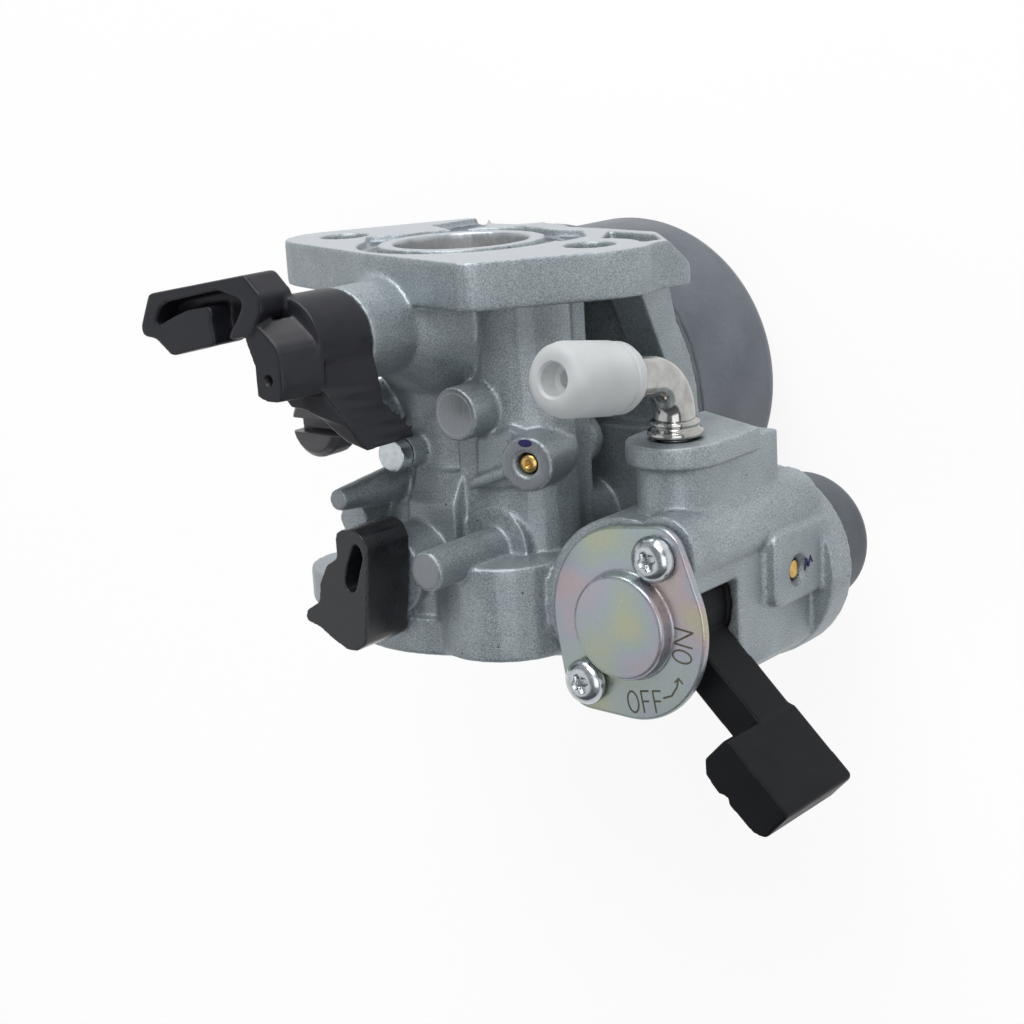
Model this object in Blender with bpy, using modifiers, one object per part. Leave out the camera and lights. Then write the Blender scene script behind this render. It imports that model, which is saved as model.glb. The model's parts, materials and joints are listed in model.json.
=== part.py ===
"""Carburetor of a small single-cylinder engine, built piece by piece.

Frame: the origin is the centre of the bore on the engine face. +Y points to the engine, +Z is up
with the float bowl hanging below, and +X points to the side that carries the fuel cock.
"""

import math

import bmesh
import bpy
import numpy as np
from mathutils import Matrix, Vector
from mathutils.geometry import convex_hull_2d

MM = 0.001

# Fits
GAP = 0.3 * MM
PAST = 1.0 * MM
SIDES = 24
SMALL_SIDES = 16

# Main casting: barrel and its two flanges
LENGTH = 51.5 * MM
BORE_D = 18.0 * MM
BORE_STRAIGHT = 18.6 * MM
VENTURI_D = 13.6 * MM
CHOKE_BORE_D = 21.0 * MM
CHOKE_BORE_DEPTH = 15.0 * MM
BARREL_WALL = 3.0 * MM
WAIST_WALL = 3.0 * MM
WAIST_START = 16.0 * MM
WAIST_TOP = 22.0 * MM
WAIST_BOTTOM = 28.0 * MM
WAIST_END = 36.5 * MM
SHOULDER_WALL = 3.7 * MM
INLET_WALL = 7.0 * MM
INLET_FACE_WALL = 8.0 * MM
ENGINE_FLANGE_T = 6.0 * MM
INLET_FLANGE_T = 5.0 * MM
STUD_SPACING = 42.0 * MM
STUD_HOLE_D = 6.5 * MM
EAR_WALL = 5.0 * MM
EAR_SLOPE_START = 25.2 * MM
EAR_SLOPE_RUN = 4.5 * MM
EAR_SLOPE_DROP = 5.0 * MM
EAR_SLOPE_TURN = math.radians(42.7)
EAR_POCKET_R = 6.6 * MM
EAR_POCKET_DEPTH = 1.6 * MM
EAR_RIB_LEFT = 18.5 * MM
EAR_RIB_RIGHT = 24.0 * MM
FLANGE_CORNER_X = 16.3 * MM
FLANGE_CORNER_Z = 19.6 * MM
FLANGE_WAIST_X = 4.0 * MM
FLANGE_WAIST_Z = 14.6 * MM
FLANGE_HEEL_X = 17.2 * MM
FLANGE_HEEL_W = 3.7 * MM
FLANGE_HEEL_Z = 22.5 * MM
FLANGE_ARCH_X = 9.0 * MM
FLANGE_ARCH_Z = 17.5 * MM
FLANGE_BACK_X = 12.5 * MM
FLANGE_BACK_Z = 15.5 * MM
FLANGE_SIDE_X = 24.5 * MM
FLANGE_SIDE_Z = 13.2 * MM
FLANGE_TOE_X = 30.0 * MM
FLANGE_TOE_Z = 10.0 * MM
FLANGE_EDGE_R = 3.0 * MM
FACE_RING_WALL = 2.1 * MM
FACE_GROOVE_W = 2.6 * MM
FACE_GROOVE_DEPTH = 1.2 * MM
BULGE_X = 12.0 * MM
BULGE_Z = 9.0 * MM
BULGE_R = 9.5 * MM
BULGE_LENGTH = 13.0 * MM
BULGE_STEP = 0.6 * MM
GALLERY_X = 12.5 * MM
GALLERY_Z = 2.8 * MM
GALLERY_D = 15.0 * MM
GALLERY_END = 40.0 * MM
PILLAR_LEFT = 5.5 * MM
PILLAR_RIGHT = 14.0 * MM
PILLAR_TOP = 23.0 * MM
PILLAR_FRONT = 9.9 * MM
PILLAR_END = 43.0 * MM
STEP_LEFT = -1.5 * MM
STEP_FRONT = 12.4 * MM
STEP_BACK = 10.2 * MM
STEP_TOP = 28.8 * MM
STEP_EDGE = 32.7 * MM

# Throttle
THROTTLE_FROM_ENGINE = 8.9 * MM
SHAFT_D = 5.6 * MM
THROTTLE_BOSS_WALL = 3.0 * MM
THROTTLE_BOSS_TOP = 24.6 * MM
THROTTLE_FLARE = 5.0 * MM
SHAFT_TAIL = 3.0 * MM
VALVE_T = 1.0 * MM
VALVE_CLEARANCE = 0.45 * MM
VALVE_SCREW_D = 2.6 * MM
VALVE_SCREW_HEAD_D = 4.4 * MM
VALVE_SCREW_HEAD_T = 1.3 * MM
LEVER_HUB_WALL = 4.2 * MM
LEVER_HUB_TOP = 32.0 * MM
FORK_T = 4.3 * MM
LOBE_BOTTOM = 22.8 * MM
LOBE_TOP = 30.0 * MM
LOBE_HOLE_D = 1.6 * MM
FOOT_BOTTOM = 20.2 * MM
FOOT_TOP = 27.5 * MM
SHAFT_END_DROP = 1.5 * MM

FORK_EDGE_R = 0.8 * MM
LOBE_EDGE_R = 1.6 * MM
FOOT_EDGE_R = 1.6 * MM

# Choke
CHOKE_FROM_ENGINE = 40.8 * MM
CHOKE_SHAFT_D = 5.0 * MM
CHOKE_BOSS_WALL = 2.8 * MM
CHOKE_BOSS_TOP = 18.7 * MM
CHOKE_LEVER_T = 8.0 * MM
CHOKE_POCKET_DEPTH = 3.0 * MM
CHOKE_SHAFT_COVER = 3.8 * MM
CHOKE_EDGE_R = 1.2 * MM

# Idle-stop screw, pilot jet, mixture screw and the plain cast bosses beside them
IDLE_X = -8.2 * MM
IDLE_FROM_ENGINE = 21.4 * MM
IDLE_BOSS_D = 7.4 * MM
IDLE_BOSS_TOP = 12.0 * MM
IDLE_SCREW_D = 4.0 * MM
IDLE_HEAD_D = 8.4 * MM
IDLE_HEAD_T = 4.2 * MM
IDLE_HEAD_EDGE = 0.8 * MM
IDLE_SLOT_W = 1.8 * MM
IDLE_SLOT_DEPTH = 2.6 * MM
IDLE_SCREW_DEPTH = 7.0 * MM
IDLE_SPRING_CURLS = 3
IDLE_SPRING_LENGTH = 5.4 * MM
IDLE_SPRING_WIRE_D = 0.8 * MM
SPRING_POINTS_A_CURL = 10
JET_X = -1.6 * MM
JET_FROM_ENGINE = 26.2 * MM
JET_D = 3.0 * MM
JET_HEAD_D = 4.4 * MM
JET_HEAD_T = 2.0 * MM
JET_DEPTH = 3.4 * MM
JET_BOSS_TOP = 12.6 * MM
PLAIN_BOSS_X = 9.8 * MM
PLAIN_BOSS_FROM_ENGINE = 19.8 * MM
PLAIN_BOSS_D = 7.0 * MM
PLAIN_BOSS_TOP = 15.0 * MM
MIXTURE_X = 18.9 * MM
MIXTURE_FROM_ENGINE = 25.9 * MM
MIXTURE_Z = 12.5 * MM
MIXTURE_TILT = math.radians(14.0)
MIXTURE_BOSS_D = 7.2 * MM
MIXTURE_BOSS_LENGTH = 17.0 * MM
MIXTURE_SCREW_D = 2.4 * MM
MIXTURE_SCREW_LENGTH = 8.0 * MM
MIXTURE_SCREW_SUNK = 0.5 * MM
STEPPED_POST_X = 11.3 * MM
STEPPED_POST_FROM_ENGINE = 37.8 * MM
STEPPED_POST_D = 5.2 * MM
STEPPED_POST_TOP = 24.2 * MM
STEPPED_POST_BASE_D = 10.6 * MM
STEPPED_POST_SHOULDER = 10.5 * MM
STOP_POST_X = -4.9 * MM
STOP_POST_FROM_ENGINE = 30.9 * MM
STOP_POST_TIP_D = 2.9 * MM
STOP_POST_ROOT_D = 5.4 * MM
STOP_POST_TOP = 22.0 * MM
DETENT_X = -9.0 * MM
DETENT_FROM_ENGINE = 35.6 * MM
DETENT_D = 5.0 * MM
DETENT_TOP = 15.0 * MM
MIXTURE_PAD_FRONT = 11.0 * MM
MIXTURE_RIB_FRONT = 12.2 * MM

# Float chamber
BOWL_FROM_ENGINE = 24.3 * MM
RIM_BELOW_AXIS = 18.0 * MM
RIM_T = 5.5 * MM
BOWL_D = 45.6 * MM
BOWL_WALL = 1.2 * MM
BOWL_FLANGE_W = 1.2 * MM
BOWL_DEPTH = 23.0 * MM
BOWL_CORNER_R = 4.5 * MM
RIM_OVERHANG = 0.6 * MM
GASKET_T = 1.2 * MM
GASKET_W = 1.9 * MM
CHAMBER_ROOF_RISE = 2.6 * MM
COLUMN_D = 10.6 * MM
BOLT_D = 6.0 * MM
BOLT_HEAD_FLATS = 10.0 * MM
BOLT_HEAD_T = 4.5 * MM
BOLT_REACH = 8.0 * MM
WASHER_T = 1.2 * MM
DRAIN_OFFSET = 11.0 * MM
DRAIN_D = 5.0 * MM
DRAIN_FLATS = 8.0 * MM
DRAIN_HEAD_T = 3.6 * MM
DRAIN_REACH = 1.4 * MM
JET_ORIFICE_D = 1.0 * MM
JET_INLET_SPACE = 1.0 * MM
FUEL_PORT_D = 1.6 * MM
MAIN_JET_D = 5.0 * MM
MAIN_JET_LENGTH = 6.0 * MM
NOZZLE_D = 4.4 * MM
NOZZLE_BORE_D = 1.8 * MM
NOZZLE_RISE = 2.6 * MM
FLOAT_D = 38.0 * MM
FLOAT_HOLE_D = 15.4 * MM
FLOAT_T = 8.0 * MM
FLOAT_EDGE_R = 1.2 * MM
FLOAT_TONGUE_T = 1.6 * MM
FLOAT_BELOW_RIM = 8.4 * MM
FLOAT_ARM_W = 6.4 * MM
FLOAT_ARM_T = 4.4 * MM
PIN_X = 17.4 * MM
PIN_BELOW_RIM = 3.6 * MM
PIN_D = 1.8 * MM
PIN_POST_T = 2.4 * MM
PIN_POST_W = 4.2 * MM
NEEDLE_X = 11.4 * MM
NEEDLE_D = 3.0 * MM
NEEDLE_LENGTH = 5.4 * MM
NEEDLE_TIP_LENGTH = 2.0 * MM
NEEDLE_TIP_D = 0.8 * MM

# Fuel cock
COCK_X = 33.5 * MM
COCK_FROM_ENGINE = 43.6 * MM
COCK_D = 25.0 * MM
COCK_TOP = 12.3 * MM
COCK_BOTTOM = -17.0 * MM
COCK_FLAT_X = 42.8 * MM
COCK_FOOT_RISE = 2.0 * MM
COCK_FOOT_DROP = 3.0 * MM
COCK_CAVITY_D = 16.0 * MM
COCK_CAVITY_FLOOR = -1.2 * MM
PACKING_T = 2.8 * MM
PACKING_HOLE_D = 3.0 * MM
PACKING_HOLE_CIRCLE_D = 8.6 * MM
PLATE_T = 1.2 * MM
PLATE_D = 23.4 * MM
PLATE_SHIFT_X = 0.7 * MM
PLATE_SHIFT_Y = -0.4 * MM
PLATE_DOME_D = 14.0 * MM
PLATE_DOME_RISE = 2.2 * MM
PLATE_DOME_TAPER = 0.5 * MM
PLATE_LOBE_R = 3.5 * MM
PLATE_SCREW_SPACING = 20.2 * MM
PLATE_SCREW_TURN = math.radians(57.5)
PLATE_SCREW_D = 3.0 * MM
PLATE_SCREW_HEAD_D = 5.6 * MM
PLATE_SCREW_HEAD_T = 2.1 * MM
PLATE_SCREW_DEPTH = 8.0 * MM
RIDGE_D = 9.6 * MM
PAD_X = 44.6 * MM
PAD_TOP_Z = -3.8 * MM
PAD_HIGH_Y = 7.4 * MM
PAD_LOW_Y = -2.0 * MM
PAD_CORNER_R = 1.6 * MM
PLUG_D = 2.4 * MM
PLUG_RECESS_D = 4.0 * MM
PLUG_RECESS_DEPTH = 0.8 * MM
PLUG_LENGTH = 2.4 * MM
PLUG_Z = -9.4 * MM
PLUG_ABOVE_AXIS = 1.9 * MM
LEVER_REST_TURN = math.radians(-44.0)
LEVER_ON_TURN = math.radians(38.0)
LEVER_OFF_TURN = math.radians(-22.0)
LEVER_STEM_W = 4.6 * MM
LEVER_STEM_OFFSET = 0.9 * MM
LEVER_STEM_T = 7.4 * MM
LEVER_STEM_REACH = 25.0 * MM
LEVER_PADDLE_RISE = 7.4 * MM
LEVER_EDGE_R = 1.4 * MM
LEVER_TAB_EDGE_R = 0.7 * MM
LEVER_SLOT_MARGIN = math.radians(1.5)
WAVE_SPRING_T = 0.5 * MM
WAVE_SPRING_W = 1.8 * MM
WAVE_SPRING_LOBES = 3

# Sediment cup
CUP_BORE_D = 17.2 * MM
CUP_BORE_DEPTH = 11.0 * MM
CUP_D = 18.4 * MM
CUP_FLANGE_D = 21.6 * MM
CUP_FLANGE_T = 1.8 * MM
CUP_DEPTH = 13.0 * MM
CUP_WALL = 1.6 * MM
CUP_COLLAR_H = 5.0 * MM
CUP_CORNER_R = 2.6 * MM
CUP_HEX_FLATS = 10.0 * MM
CUP_HEX_T = 2.5 * MM
O_RING_D = 1.6 * MM
STRAINER_D = 10.4 * MM
STRAINER_FLANGE_T = 0.9 * MM
STRAINER_DEPTH = 10.0 * MM
STRAINER_WALL = 0.9 * MM

# Fuel inlet
ELBOW_X = 36.2 * MM
ELBOW_Z = 4.8 * MM
INLET_BLOCK_FROM_ENGINE = 22.5 * MM
INLET_LIP_T = 2.8 * MM
INLET_LIP_R = 6.2 * MM
INLET_COLUMN_R = 5.0 * MM
INLET_BLOCK_BACK_Z = -11.0 * MM
TUBE_D = 5.0 * MM
TUBE_BORE_D = 3.2 * MM
TUBE_SEAT_DEPTH = 4.5 * MM
TUBE_RISE = 3.0 * MM
TUBE_BEND_R = 5.4 * MM
TUBE_REACH = 13.0 * MM
TUBE_TILT = math.radians(9.0)
TUBE_BEAD_D = 7.0 * MM
TUBE_BEAD_T = 1.4 * MM
CAP_D = 8.8 * MM
CAP_LENGTH = 12.0 * MM
CAP_OVERLAP = 6.5 * MM
CAP_DIMPLE_D = 4.0 * MM
CAP_DIMPLE_DEPTH = 3.0 * MM

# Places worked out from the sizes above
BORE_R = BORE_D / 2
CHOKE_R = CHOKE_BORE_D / 2
SHAFT_R = SHAFT_D / 2
CHOKE_SHAFT_R = CHOKE_SHAFT_D / 2
THROTTLE_SHAFT_FOOT = -BORE_R - SHAFT_TAIL
CHOKE_SHAFT_FOOT = -CHOKE_R - SHAFT_TAIL
EAR_X = STUD_SPACING / 2
EAR_R = STUD_HOLE_D / 2 + EAR_WALL
THROTTLE_Y = -THROTTLE_FROM_ENGINE
CHOKE_Y = -CHOKE_FROM_ENGINE
BOWL_Y = -BOWL_FROM_ENGINE
RIM_Z = -RIM_BELOW_AXIS
RIM_R = BOWL_D / 2 + BOWL_FLANGE_W + RIM_OVERHANG
BOWL_TOP = RIM_Z - GASKET_T - 2 * GAP
BOWL_FLOOR = BOWL_TOP - BOWL_DEPTH
COLUMN_BOTTOM = BOWL_FLOOR + BOWL_WALL + GAP
COCK_Y = -COCK_FROM_ENGINE
COCK_R = COCK_D / 2
PLATE_BOTTOM = COCK_TOP + GAP
PLATE_TOP = PLATE_BOTTOM + PLATE_T
LEVER_BOTTOM = COCK_CAVITY_FLOOR + GAP + PACKING_T + GAP
LEVER_STEM_TOP = LEVER_BOTTOM + LEVER_STEM_T
CUP_TOP = COCK_BOTTOM - O_RING_D - 2 * GAP
INLET_TOP_Y = -INLET_BLOCK_FROM_ENGINE
PIN_Z = RIM_Z - PIN_BELOW_RIM
FLOAT_TOP = RIM_Z - FLOAT_BELOW_RIM
CHAMBER_ROOF = RIM_Z + CHAMBER_ROOF_RISE


def in_mm(*points):
    """Points written in millimetres."""
    return [(x * MM, y * MM) for x, y in points]


# Outlines of the moulded levers, seen from above, with their shafts at the origin
FORK_OUTLINE = in_mm(
    *[(-21.0, 6.1), (-3.6, 9.1), (-1.0, 6.7), (-1.2, 4.6), (-3.2, 1.8), (-7.9, 0.8), (-5.6, 3.5)],
    *[(-4.0, 6.0), (-8.4, 7.0), (-17.5, 5.2), (-19.0, 4.4), (-20.6, 1.8), (-16.4, 3.6), (-14.1, 4.4)],
    *[(-10.3, 5.0), (-9.7, 4.6), (-10.0, 3.0), (-9.4, 0.2), (-12.5, -0.4), (-17.7, -1.6), (-20.4, 0.4)],
    *[(-22.9, 0.7), (-22.9, 2.1)],
)
LOBE_OUTLINE = in_mm(
    *[(-10.9, 0.5), (-9.9, -2.7), (-9.6, -4.9), (-9.8, -7.3), (-7.8, -8.0), (-5.4, -7.7), (-4.0, -5.0)],
    *[(-2.0, 0.0), (-6.0, 2.0)],
)
LOBE_HOLE = (-7.4 * MM, -5.0 * MM)
FOOT_OUTLINE = in_mm(
    *[(-7.2, -1.0), (-6.4, -5.2), (-3.0, -8.6), (0.2, -10.8), (5.2, -14.3), (7.8, -13.4), (7.9, -9.6)],
    *[(2.5, -8.4), (1.5, -6.0), (1.5, -1.0)],
)
CHOKE_OUTLINE = in_mm(
    *[(-1.0, 7.5), (2.2, 8.1), (3.6, 7.3), (4.4, 5.8), (4.1, 2.3), (3.6, -2.1), (3.0, -7.0), (1.3, -8.0)],
    *[(-0.1, -8.2), (-2.8, -7.0), (-5.0, -5.7), (-7.3, -5.2), (-7.2, -3.8), (-4.7, -2.3), (-4.3, 0.3)],
    *[(-2.9, 2.8), (-0.9, 4.0)],
)
CHOKE_POCKET = in_mm(
    *[(2.2, 6.2), (3.1, 5.9), (3.5, 4.5), (2.5, 1.8), (1.8, -0.2), (0.6, -0.2), (0.1, 0.8), (0.8, 3.3)],
)

# Outline of the fuel lever's finger tab, seen from above along its stem, with a ridge on its near side
TAB_OUTLINE = in_mm(
    *[(19.6, 3.4), (19.6, -1.0), (21.0, -2.3), (23.6, -2.6), (24.8, -1.8), (25.4, -2.4), (29.8, -2.2)],
    *[(31.2, -1.3), (31.2, 3.4)],
)

# Outlines on the engine face, as (x, z): the ear's sunken pocket, the groove's notch and its wide end
EAR_POCKET = in_mm((14.6, -13.0), (23.2, -11.0), (27.0, -6.9))
GROOVE_NOTCH = in_mm((-16.7, -13.6), (-15.2, -24.5), (-7.4, -14.1), (-8.8, -9.2))
GROOVE_END = in_mm((4.5, -12.4), (10.5, -12.4), (14.9, -7.5), (14.8, -2.0), (12.0, -4.5), (8.6, -9.4))

# Outlines on the casting's front, as (x, y): the pad beside the mixture screw and the rib on it
MIXTURE_PAD = in_mm((9.5, -24.0), (15.0, -21.8), (17.0, -22.6), (17.0, -29.4), (9.3, -30.2))
MIXTURE_RIB = in_mm((9.0, -30.4), (9.0, -28.8), (15.5, -26.2), (16.2, -27.6))

# Outline of the rib under the fuel-side ear, as (y, z)
EAR_RIB = in_mm((-5.0, -5.5), (-5.0, -12.5), (-20.0, -16.5), (-20.0, -13.0))

# Finishes: colour, roughness and how metallic the surface is
CASTING = ((0.52, 0.56, 0.58), 0.45, 0.9)
BOWL_STEEL = ((0.45, 0.49, 0.52), 0.35, 0.9)
STEEL = ((0.6, 0.6, 0.6), 0.25, 1.0)
ZINC_STEEL = ((0.72, 0.73, 0.74), 0.3, 1.0)
YELLOW_ZINC = ((0.62, 0.6, 0.45), 0.3, 0.9)
BRASS = ((0.75, 0.55, 0.22), 0.3, 1.0)
BLACK_PLASTIC = ((0.03, 0.03, 0.032), 0.45, 0.0)
FLOAT_PLASTIC = ((0.08, 0.08, 0.08), 0.5, 0.0)
MILKY_PLASTIC = ((0.85, 0.86, 0.84), 0.4, 0.0)
RUBBER = ((0.02, 0.02, 0.02), 0.7, 0.0)
FIBRE = ((0.35, 0.12, 0.08), 0.8, 0.0)
MESH_PLASTIC = ((0.8, 0.8, 0.76), 0.5, 0.0)

X_AXIS = Vector((1, 0, 0))
Y_AXIS = Vector((0, 1, 0))
Z_AXIS = Vector((0, 0, 1))


def clear_scene():
    """Remove every object of the startup scene."""
    for obj in list(bpy.data.objects):
        bpy.data.objects.remove(obj, do_unlink=True)


def new_collection(name, parent=None):
    """Return a new collection under the scene or under another collection."""
    collection = bpy.data.collections.new(name)
    (parent or bpy.context.scene.collection).children.link(collection)
    return collection


clear_scene()
PARTS = new_collection("carburetor")
HELPERS = new_collection("carburetor_cutters")
HELPERS.hide_render = True


def as_object(name, bm):
    """Put a bmesh into the helper collection as a wire-drawn object."""
    bmesh.ops.recalc_face_normals(bm, faces=bm.faces)
    mesh = bpy.data.meshes.new(name)
    bm.to_mesh(mesh)
    bm.free()
    obj = bpy.data.objects.new(name, mesh)
    obj.hide_render = True
    obj.display_type = "WIRE"
    HELPERS.objects.link(obj)
    return obj


def rod(name, start, end, radius, end_radius=None, sides=SIDES):
    """Round bar or cone between two points."""
    start, end = Vector(start), Vector(end)
    axis = end - start
    turn = Z_AXIS.rotation_difference(axis).to_matrix().to_4x4()
    bm = bmesh.new()
    bmesh.ops.create_cone(
        bm,
        cap_ends=True,
        segments=sides,
        radius1=radius,
        radius2=radius if end_radius is None else end_radius,
        depth=axis.length,
        matrix=Matrix.Translation((start + end) / 2) @ turn,
    )
    return as_object(name, bm)


def post(name, x, y, bottom, top, radius, top_radius=None, sides=SIDES):
    """Upright round bar between two heights."""
    return rod(name, (x, y, bottom), (x, y, top), radius, top_radius, sides)


def block(name, low, high):
    """Box between two corners."""
    low, high = Vector(low), Vector(high)
    size = high - low
    bm = bmesh.new()
    place = Matrix.Translation((low + high) / 2) @ Matrix.Diagonal((*size, 1))
    bmesh.ops.create_cube(bm, size=1, matrix=place)
    return as_object(name, bm)


def welded_mesh(shape):
    """Replace a curve or a shape with modifiers by a welded mesh of the same name and place."""
    name = shape.name
    bpy.context.view_layer.update()
    graph = bpy.context.evaluated_depsgraph_get()
    mesh = bpy.data.meshes.new_from_object(shape.evaluated_get(graph))
    place = shape.matrix_world.copy()
    bpy.data.objects.remove(shape, do_unlink=True)
    bm = bmesh.new()
    bm.from_mesh(mesh)
    bpy.data.meshes.remove(mesh)
    bmesh.ops.remove_doubles(bm, verts=bm.verts, dist=1e-6)
    bmesh.ops.transform(bm, matrix=place, verts=bm.verts)
    return as_object(name, bm)


PLANES = {
    "X": Matrix(((0, 0, 1, 0), (1, 0, 0, 0), (0, 1, 0, 0), (0, 0, 0, 1))),
    "Y": Matrix(((1, 0, 0, 0), (0, 0, -1, 0), (0, 1, 0, 0), (0, 0, 0, 1))),
    "Z": Matrix.Identity(4),
}


def prism(name, outline, low, high, axis="Z"):
    """Flat outline given a thickness along an axis: (x, y) on Z, (x, z) on Y, (y, z) on X."""
    curve = bpy.data.curves.new(name, "CURVE")
    curve.dimensions = "2D"
    curve.fill_mode = "BOTH"
    curve.extrude = (high - low) / 2
    spline = curve.splines.new("POLY")
    spline.points.add(len(outline) - 1)
    for point, (across, up) in zip(spline.points, outline):
        point.co = (across, up, 0, 1)
    spline.use_cyclic_u = True
    obj = bpy.data.objects.new(name, curve)
    HELPERS.objects.link(obj)
    middle = {"X": X_AXIS, "Y": Y_AXIS, "Z": Z_AXIS}[axis] * (low + high) / 2
    obj.matrix_basis = Matrix.Translation(middle) @ PLANES[axis]
    return welded_mesh(obj)


def turned(name, profile, x=0, y=0, sides=SIDES, lay_along_y=False):
    """Turned shape: a (radius, height) profile, listed down its outer side, on a Screw.

    A profile that starts and ends on the axis stays open there, and any other is a ring.
    """
    bm = bmesh.new()
    corners = [bm.verts.new((radius, 0, height)) for radius, height in profile]
    for first, second in zip(corners, corners[1:]):
        bm.edges.new((first, second))
    if profile[0][0] > 0:
        bm.edges.new((corners[-1], corners[0]))
    mesh = bpy.data.meshes.new(name)
    bm.to_mesh(mesh)
    bm.free()
    obj = bpy.data.objects.new(name, mesh)
    obj.hide_render = True
    obj.display_type = "WIRE"
    HELPERS.objects.link(obj)
    screw = obj.modifiers.new("turn", "SCREW")
    screw.steps = sides
    screw.render_steps = sides
    screw.use_merge_vertices = True
    screw.merge_threshold = 1e-6
    if lay_along_y:
        obj.matrix_basis = Matrix.Rotation(math.radians(-90), 4, "X")
    else:
        obj.location = (x, y, 0)
    return obj


def tube(name, points, radius, bevel_resolution=2):
    """Round bar along a list of points."""
    curve = bpy.data.curves.new(name, "CURVE")
    curve.dimensions = "3D"
    curve.bevel_depth = radius
    curve.bevel_resolution = bevel_resolution
    curve.use_fill_caps = True
    spline = curve.splines.new("POLY")
    spline.points.add(len(points) - 1)
    for point, place in zip(spline.points, points):
        point.co = (*place, 1)
    obj = bpy.data.objects.new(name, curve)
    HELPERS.objects.link(obj)
    return welded_mesh(obj)


def boolean(obj, operation, others):
    """Add one Boolean that takes all the other objects at once."""
    operands = new_collection(f"{obj.name}_{operation.lower()}", HELPERS)
    for other in others:
        HELPERS.objects.unlink(other)
        operands.objects.link(other)
    modifier = obj.modifiers.new(operation.lower(), "BOOLEAN")
    modifier.operation = operation
    modifier.operand_type = "COLLECTION"
    modifier.collection = operands
    modifier.solver = "EXACT"
    return obj


def add(obj, *others):
    """Join other solids to an object."""
    return boolean(obj, "UNION", others)


def cut(obj, *others):
    """Cut other solids out of an object."""
    return boolean(obj, "DIFFERENCE", others)


def part(obj, name, finish, pivot=None):
    """Make a helper a part: name, collection, finish and, where it moves, its pivot."""
    colour, roughness, metallic = finish
    obj.name = name
    obj.data.name = name
    HELPERS.objects.unlink(obj)
    PARTS.objects.link(obj)
    obj.hide_render = False
    obj.display_type = "SOLID"
    if pivot is not None:
        obj.parent = pivot
        obj.matrix_basis = Matrix.Translation(-pivot.location) @ obj.matrix_basis
    material = bpy.data.materials.new(name)
    material.use_nodes = True
    shader = material.node_tree.nodes["Principled BSDF"]
    shader.inputs["Base Color"].default_value = (*colour, 1)
    shader.inputs["Roughness"].default_value = roughness
    shader.inputs["Metallic"].default_value = metallic
    obj.data.materials.append(material)
    obj.data.shade_smooth()
    obj.data.set_sharp_from_angle(angle=math.radians(35))
    return obj


def pivot_at(name, place):
    """Empty on a joint's axis, which carries the pieces that move on it."""
    empty = bpy.data.objects.new(name, None)
    empty.location = place
    empty.empty_display_size = 5 * MM
    PARTS.objects.link(empty)
    return empty


# Outlines


def arc(centre, radius, start, end, steps):
    """Points on a circular arc, with angles in degrees."""
    angles = np.radians(np.linspace(start, end, steps + 1))
    return [(centre[0] + radius * math.cos(a), centre[1] + radius * math.sin(a)) for a in angles]


def rounded(outline, radius, steps=4):
    """Round the sharp corners of an outline and leave its shallow ones."""
    points = [Vector(point) for point in outline]
    result = []
    for before, corner, after in zip(points[-1:] + points[:-1], points, points[1:] + points[:1]):
        back, ahead = before - corner, after - corner
        turn = math.pi - back.angle(ahead)
        if turn < math.radians(25):
            result.append(corner)
            continue
        reach = min(radius * math.tan(turn / 2), 0.45 * back.length, 0.45 * ahead.length)
        first, last = corner + back.normalized() * reach, corner + ahead.normalized() * reach
        for t in np.linspace(0, 1, steps + 1):
            result.append(first * (1 - t) ** 2 + corner * (2 * t * (1 - t)) + last * t**2)
    return [(point.x, point.y) for point in result]


def shifted(outline, centre):
    """Outline moved so that its origin lies on a centre."""
    return [(x + centre[0], y + centre[1]) for x, y in outline]


def lug_outline(middle_r, lug_r, lug_x, steps=8):
    """Outline round a middle circle and two lugs, with straight tangents between them."""
    lean = math.degrees(math.acos((middle_r - lug_r) / lug_x))
    right = arc((lug_x, 0), lug_r, -lean, lean, steps)
    top = arc((0, 0), middle_r, lean, 180 - lean, steps)
    return right + top + [(-x, -y) for x, y in right + top]


# Main casting


def engine_flange():
    """Skewed flange with an ear for each stud and a heel that reaches down beside the bowl."""
    outline = arc((EAR_X, 0), EAR_R, -25, 35, 5)
    outline += [(FLANGE_CORNER_X, FLANGE_CORNER_Z), (-FLANGE_WAIST_X, FLANGE_WAIST_Z)]
    outline += arc((-EAR_X, 0), EAR_R, 110, 215, 7)
    outline.append((-FLANGE_HEEL_X, -FLANGE_HEEL_Z))
    outline.append((FLANGE_HEEL_W - FLANGE_HEEL_X, -FLANGE_HEEL_Z))
    outline += [(-FLANGE_ARCH_X, -FLANGE_ARCH_Z), (FLANGE_BACK_X, -FLANGE_BACK_Z)]
    outline += [(FLANGE_SIDE_X, -FLANGE_SIDE_Z), (FLANGE_TOE_X, -FLANGE_TOE_Z)]
    return prism("engine_flange", rounded(outline, FLANGE_EDGE_R), -ENGINE_FLANGE_T, PAST, "Y")


def face_stock():
    """What is milled off the engine face."""
    reach = EAR_X + EAR_R + FLANGE_HEEL_Z
    return block("face_stock", (-reach, 0, -reach), (reach, reach, THROTTLE_BOSS_TOP + PAST))


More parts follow.
